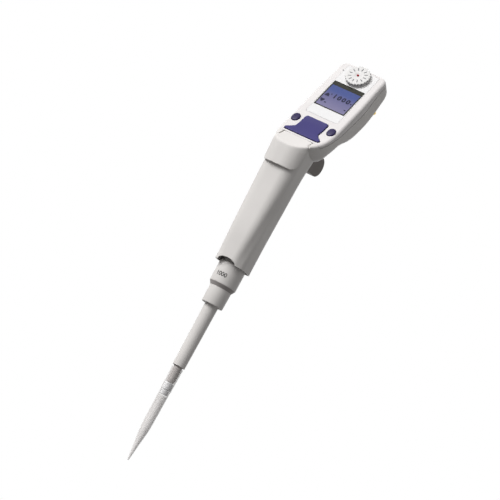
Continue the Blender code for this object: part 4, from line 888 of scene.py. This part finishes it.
# Ejector sleeve: collar, drum and long thin tube in one grey moulding, which slides down the nose of the
# pipette and pushes the tip off. The plain number on the collar is the largest volume.
SLEEVE_FOOT = 0.0772
SLEEVE_RADIUS = 0.0049
TUBE_TOP_RADIUS = 0.00525
TUBE_WALL = 0.0006
DRUM_FOOT = 0.1280
DRUM_RADIUS = 0.0084
DRUM_WALL = 0.0011
SHOULDER_FOOT = 0.1416
COLLAR_FOOT = 0.1446
COLLAR_RADIUS = 0.0105
COLLAR_WALL = 0.0012
COLLAR_TOP = 0.1760
NECK_RADIUS = 0.0088
NUMBER_HEIGHT = 0.1509
NUMBER_SIZE = 0.0046
sleeve_profile = [(SLEEVE_RADIUS - TUBE_WALL, SLEEVE_FOOT), (SLEEVE_RADIUS - 0.00015, SLEEVE_FOOT),
                  (SLEEVE_RADIUS, SLEEVE_FOOT + 0.00015), (TUBE_TOP_RADIUS, DRUM_FOOT + 0.0002),
                  (DRUM_RADIUS - 0.0008, DRUM_FOOT), (DRUM_RADIUS - 0.0003, DRUM_FOOT + 0.0001),
                  (DRUM_RADIUS - 0.0001, DRUM_FOOT + 0.0003), (DRUM_RADIUS, DRUM_FOOT + 0.0008),
                  (DRUM_RADIUS + 0.00015, SHOULDER_FOOT), (COLLAR_RADIUS - 0.0003, COLLAR_FOOT - 0.0003),
                  (COLLAR_RADIUS - 0.00005, COLLAR_FOOT), (COLLAR_RADIUS, COLLAR_FOOT + 0.0003),
                  (COLLAR_RADIUS, HANDLE_FOOT + 0.0005), (NECK_RADIUS, HANDLE_FOOT + 0.0025), (NECK_RADIUS, COLLAR_TOP),
                  (NECK_RADIUS - COLLAR_WALL, COLLAR_TOP), (NECK_RADIUS - COLLAR_WALL, HANDLE_FOOT + 0.0010),
                  (COLLAR_RADIUS - COLLAR_WALL, HANDLE_FOOT - 0.0010),
                  (COLLAR_RADIUS - COLLAR_WALL, COLLAR_FOOT - 0.0005),
                  (DRUM_RADIUS - DRUM_WALL, SHOULDER_FOOT - 0.0005), (DRUM_RADIUS - DRUM_WALL, DRUM_FOOT + 0.0013),
                  (SLEEVE_RADIUS - TUBE_WALL, DRUM_FOOT + 0.0013)]
finished("sleeve", turned(sleeve_profile, upright, 128), grey_plastic, "ejector", "housing_plastic", "ejector_sleeve",
         angle=28)
# A thin darker ring laid over the shoulder under the collar: painted shade, where the downward-facing shoulder falls in
# shadow.
shade_band_profile = [(DRUM_RADIUS, SHOULDER_FOOT), (DRUM_RADIUS + 0.0002, SHOULDER_FOOT),
                (COLLAR_RADIUS - 0.00015, COLLAR_FOOT - 0.0003), (COLLAR_RADIUS - 0.0004, COLLAR_FOOT - 0.0003)]
painted_shade_grey = plastic("painted_shade_grey", (0.40, 0.37, 0.36))
finished("shoulder_painted_shade", turned(shade_band_profile, upright, 128), painted_shade_grey, "ejector", "housing_plastic")
number_grey = plastic("number_grey", (0.02, 0.02, 0.02), shade=0.85, bump=0.0)
volume = lettering("1000", NUMBER_SIZE, upright @ Matrix.Translation((0, 0, NUMBER_HEIGHT)), COLLAR_RADIUS + 0.00001,
                   0.00007)
finished("volume_number", volume, number_grey, "ejector", "inner_dark")

# Tip with its filters: a thin-walled disposable cone of milky polypropylene with a wider collar, pushed
# on the grey tip cone, and two white plugs of sintered plastic inside.
TIP_TOP = 0.0760
TIP_WALL = 0.0005
FILTER_FOOT = 0.0535


def milky(name):
    """Milky polypropylene: its outer skin veils what is behind it, thinly where the filters and the cone sit; its
    colour is painted darker towards the edges seen edge-on, as painted shade.
    """
    made, tree, shader, surface = grained(name, (0.96, 0.93, 0.915), 0.97, 1800, 0.22, 0.30)
    rim = added(tree, "LayerWeight", {"Blend": 0.48}).outputs["Facing"]
    level = added(tree, "SeparateXYZ", {"Vector": added(tree, "TexCoord").outputs["Object"]}).outputs["Z"]
    veil = added(tree, "MapRange", {"Value": level, "From Min": (upright @ Vector((0, 0, FILTER_FOOT - 0.0015))).z,
                                    "From Max": (upright @ Vector((0, 0, FILTER_FOOT + 0.0005))).z,
                                    "To Min": 0.72, "To Max": 0.18})
    front = calculated(tree, "SUBTRACT", 1.0, added(tree, "NewGeometry").outputs["Backfacing"])
    skin = calculated(tree, "MULTIPLY", calculated(tree, "MAXIMUM", veil, rim), front)
    # Painted shade: the colour is mixed towards grey where the wall is seen edge-on.
    feed(tree, shader, {"Base Color": mixed(tree, rim, surface["Colour"], (0.52, 0.495, 0.48, 1)), "Alpha": skin,
                        "Specular IOR Level": 0.15})
    return made


outer = [(0.00055, 0.0), (0.00120, 0.0050), (0.00160, 0.0090), (0.00210, 0.0140), (0.00270, 0.0180), (0.00326, 0.0230),
         (0.00360, 0.0270), (0.00375, 0.0330), (0.00395, 0.0568), (0.00418, 0.0574), (0.0043, 0.0680), (0.0043, 0.0740),
         (0.0045, 0.0748), (0.0045, TIP_TOP)]
inner = [(max(radius - TIP_WALL, 0.0003), height) for radius, height in reversed(outer[:-2])]
tip_profile = outer + [(0.0039, TIP_TOP)] + inner
finished("tip_shell", turned(tip_profile, upright, 96), milky("tip_milky"), "tip", "tip_clear", "pipette_tip")
filter_white = plastic("filter_white", (0.93, 0.93, 0.94), shade=0.93, grain=4200.0, smooth=0.8, matt=0.95, bump=0.0001)


def refinished(finish, *nodes):
    """Gives solids that keep their own form another finish."""
    for node in nodes:
        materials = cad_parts[node].data.materials
        materials.clear()
        materials.append(finish)


refinished(filter_white, "upper_filter", "lower_filter")

# Works inside: bought-in and machined parts that show when the covers come off, in bare steel, black
# plastic, rubber and green board. Their solids are right, so only their finish is new.
steel = metal("bright_steel", (0.55, 0.56, 0.58), 0.22, 0.38, 700.0, (1, 1, 0.08))
black = plastic("black_plastic", (0.022, 0.022, 0.024), shade=0.85)
rubber = plastic("seal_rubber", (0.03, 0.028, 0.027), shade=0.8, smooth=0.6, matt=0.8)
board_green = plastic("board_green", (0.03, 0.16, 0.075), shade=0.7, grain=700.0, smooth=0.3, matt=0.5)
refinished(steel, "lead_screw", "piston", "motor_case", "ejector_rod", "dial_shaft", "rocker_pin", "hook_screw",
           "seal_retainer")
refinished(black, "motor_rotor", "piston_cylinder", "chassis", "encoder", "battery", "softkey_switch_left",
           "softkey_switch_right", "rocker_switch_upper", "rocker_switch_lower", "display_module")
refinished(rubber, "piston_seal")
refinished(plastic("cone_grey", (0.50, 0.465, 0.45)), "tip_cone")
refinished(board_green, "main_board")

# Springs: two coils of steel wire, which the ejector rod and the tip cone press together from one end.
for name, node, joint, seat, keep in (("ejector_coil", "ejector_spring", "ejector_press", 0, 0.45),
                                      ("cone_coil", "cone_spring", "cone_press", 1, 0.79)):
    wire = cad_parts[node].data.copy()
    wire.transform(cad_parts[node].matrix_world)
    coil = finished(name, wire, steel, "instrument", "steel", node, angle=60)
    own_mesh(coil)

# Studio: a pale floor far under the pipette, a white surround, one broad soft key light from the upper
# left, and a weaker one behind for the back.
FLOOR_DROP = 0.62
KEY_STRENGTH = 3.15
AMBIENT_LOW = 0.08
AMBIENT_HIGH = 0.46
FLOOR_HALF = 3.0
floor_corners = [(x, y, -FLOOR_DROP) for x, y in ((-1, -1), (1, -1), (1, 1), (-1, 1))]
floor_mesh = bpy.data.meshes.new("floor")
floor_mesh.from_pydata([(FLOOR_HALF * x, FLOOR_HALF * y, z) for x, y, z in floor_corners], [], [(0, 1, 2, 3)])
floor = linked("floor", floor_mesh)
floor.visible_diffuse = False
floor_paint, floor_tree, floor_shader = new_material("floor_paint")
floor_glow = calculated(floor_tree, "MULTIPLY", added(floor_tree, "LightPath").outputs["Is Camera Ray"], 0.35)
feed(floor_tree, floor_shader, {"Base Color": (0.94, 0.94, 0.94, 1), "Roughness": 0.9,
                                "Emission Color": (1, 1, 1, 1), "Emission Strength": floor_glow})
floor_mesh.materials.append(floor_paint)
surround = bpy.data.worlds.new("surround")
surround.use_nodes = True
bpy.context.scene.world = surround
sky = surround.node_tree
rays = added(sky, "LightPath").outputs
seen = calculated(sky, "MAXIMUM", rays["Is Camera Ray"], rays["Is Transmission Ray"])
mirrored = calculated(sky, "MAXIMUM", seen, rays["Is Glossy Ray"])
toward = added(sky, "SeparateXYZ", {"Vector": added(sky, "TexCoord").outputs["Generated"]}).outputs["Z"]
dome = added(sky, "MapRange", {"From Min": -1, "To Min": AMBIENT_LOW, "To Max": AMBIENT_HIGH, "Value": toward})
level = added(sky, "MapRange", {"To Min": dome, "To Max": 1, "Value": mirrored})
feed(sky, sky.nodes["Background"], {"Color": (1, 1, 1, 1), "Strength": level})
for name, direction, strength, softness in (("key", (-0.42, -0.70, 0.58), KEY_STRENGTH, 34),
                                            ("back", (-0.35, 0.88, 0.33), 0.5, 60)):
    sun = bpy.data.lights.new(name, "SUN")
    sun.energy = strength
    sun.angle = math.radians(softness)
    lamp = linked(name, sun)
    lamp.rotation_mode = "QUATERNION"
    lamp.rotation_quaternion = Vector(direction).to_track_quat("Z", "Y")
bpy.context.scene.view_settings.view_transform = "Standard"
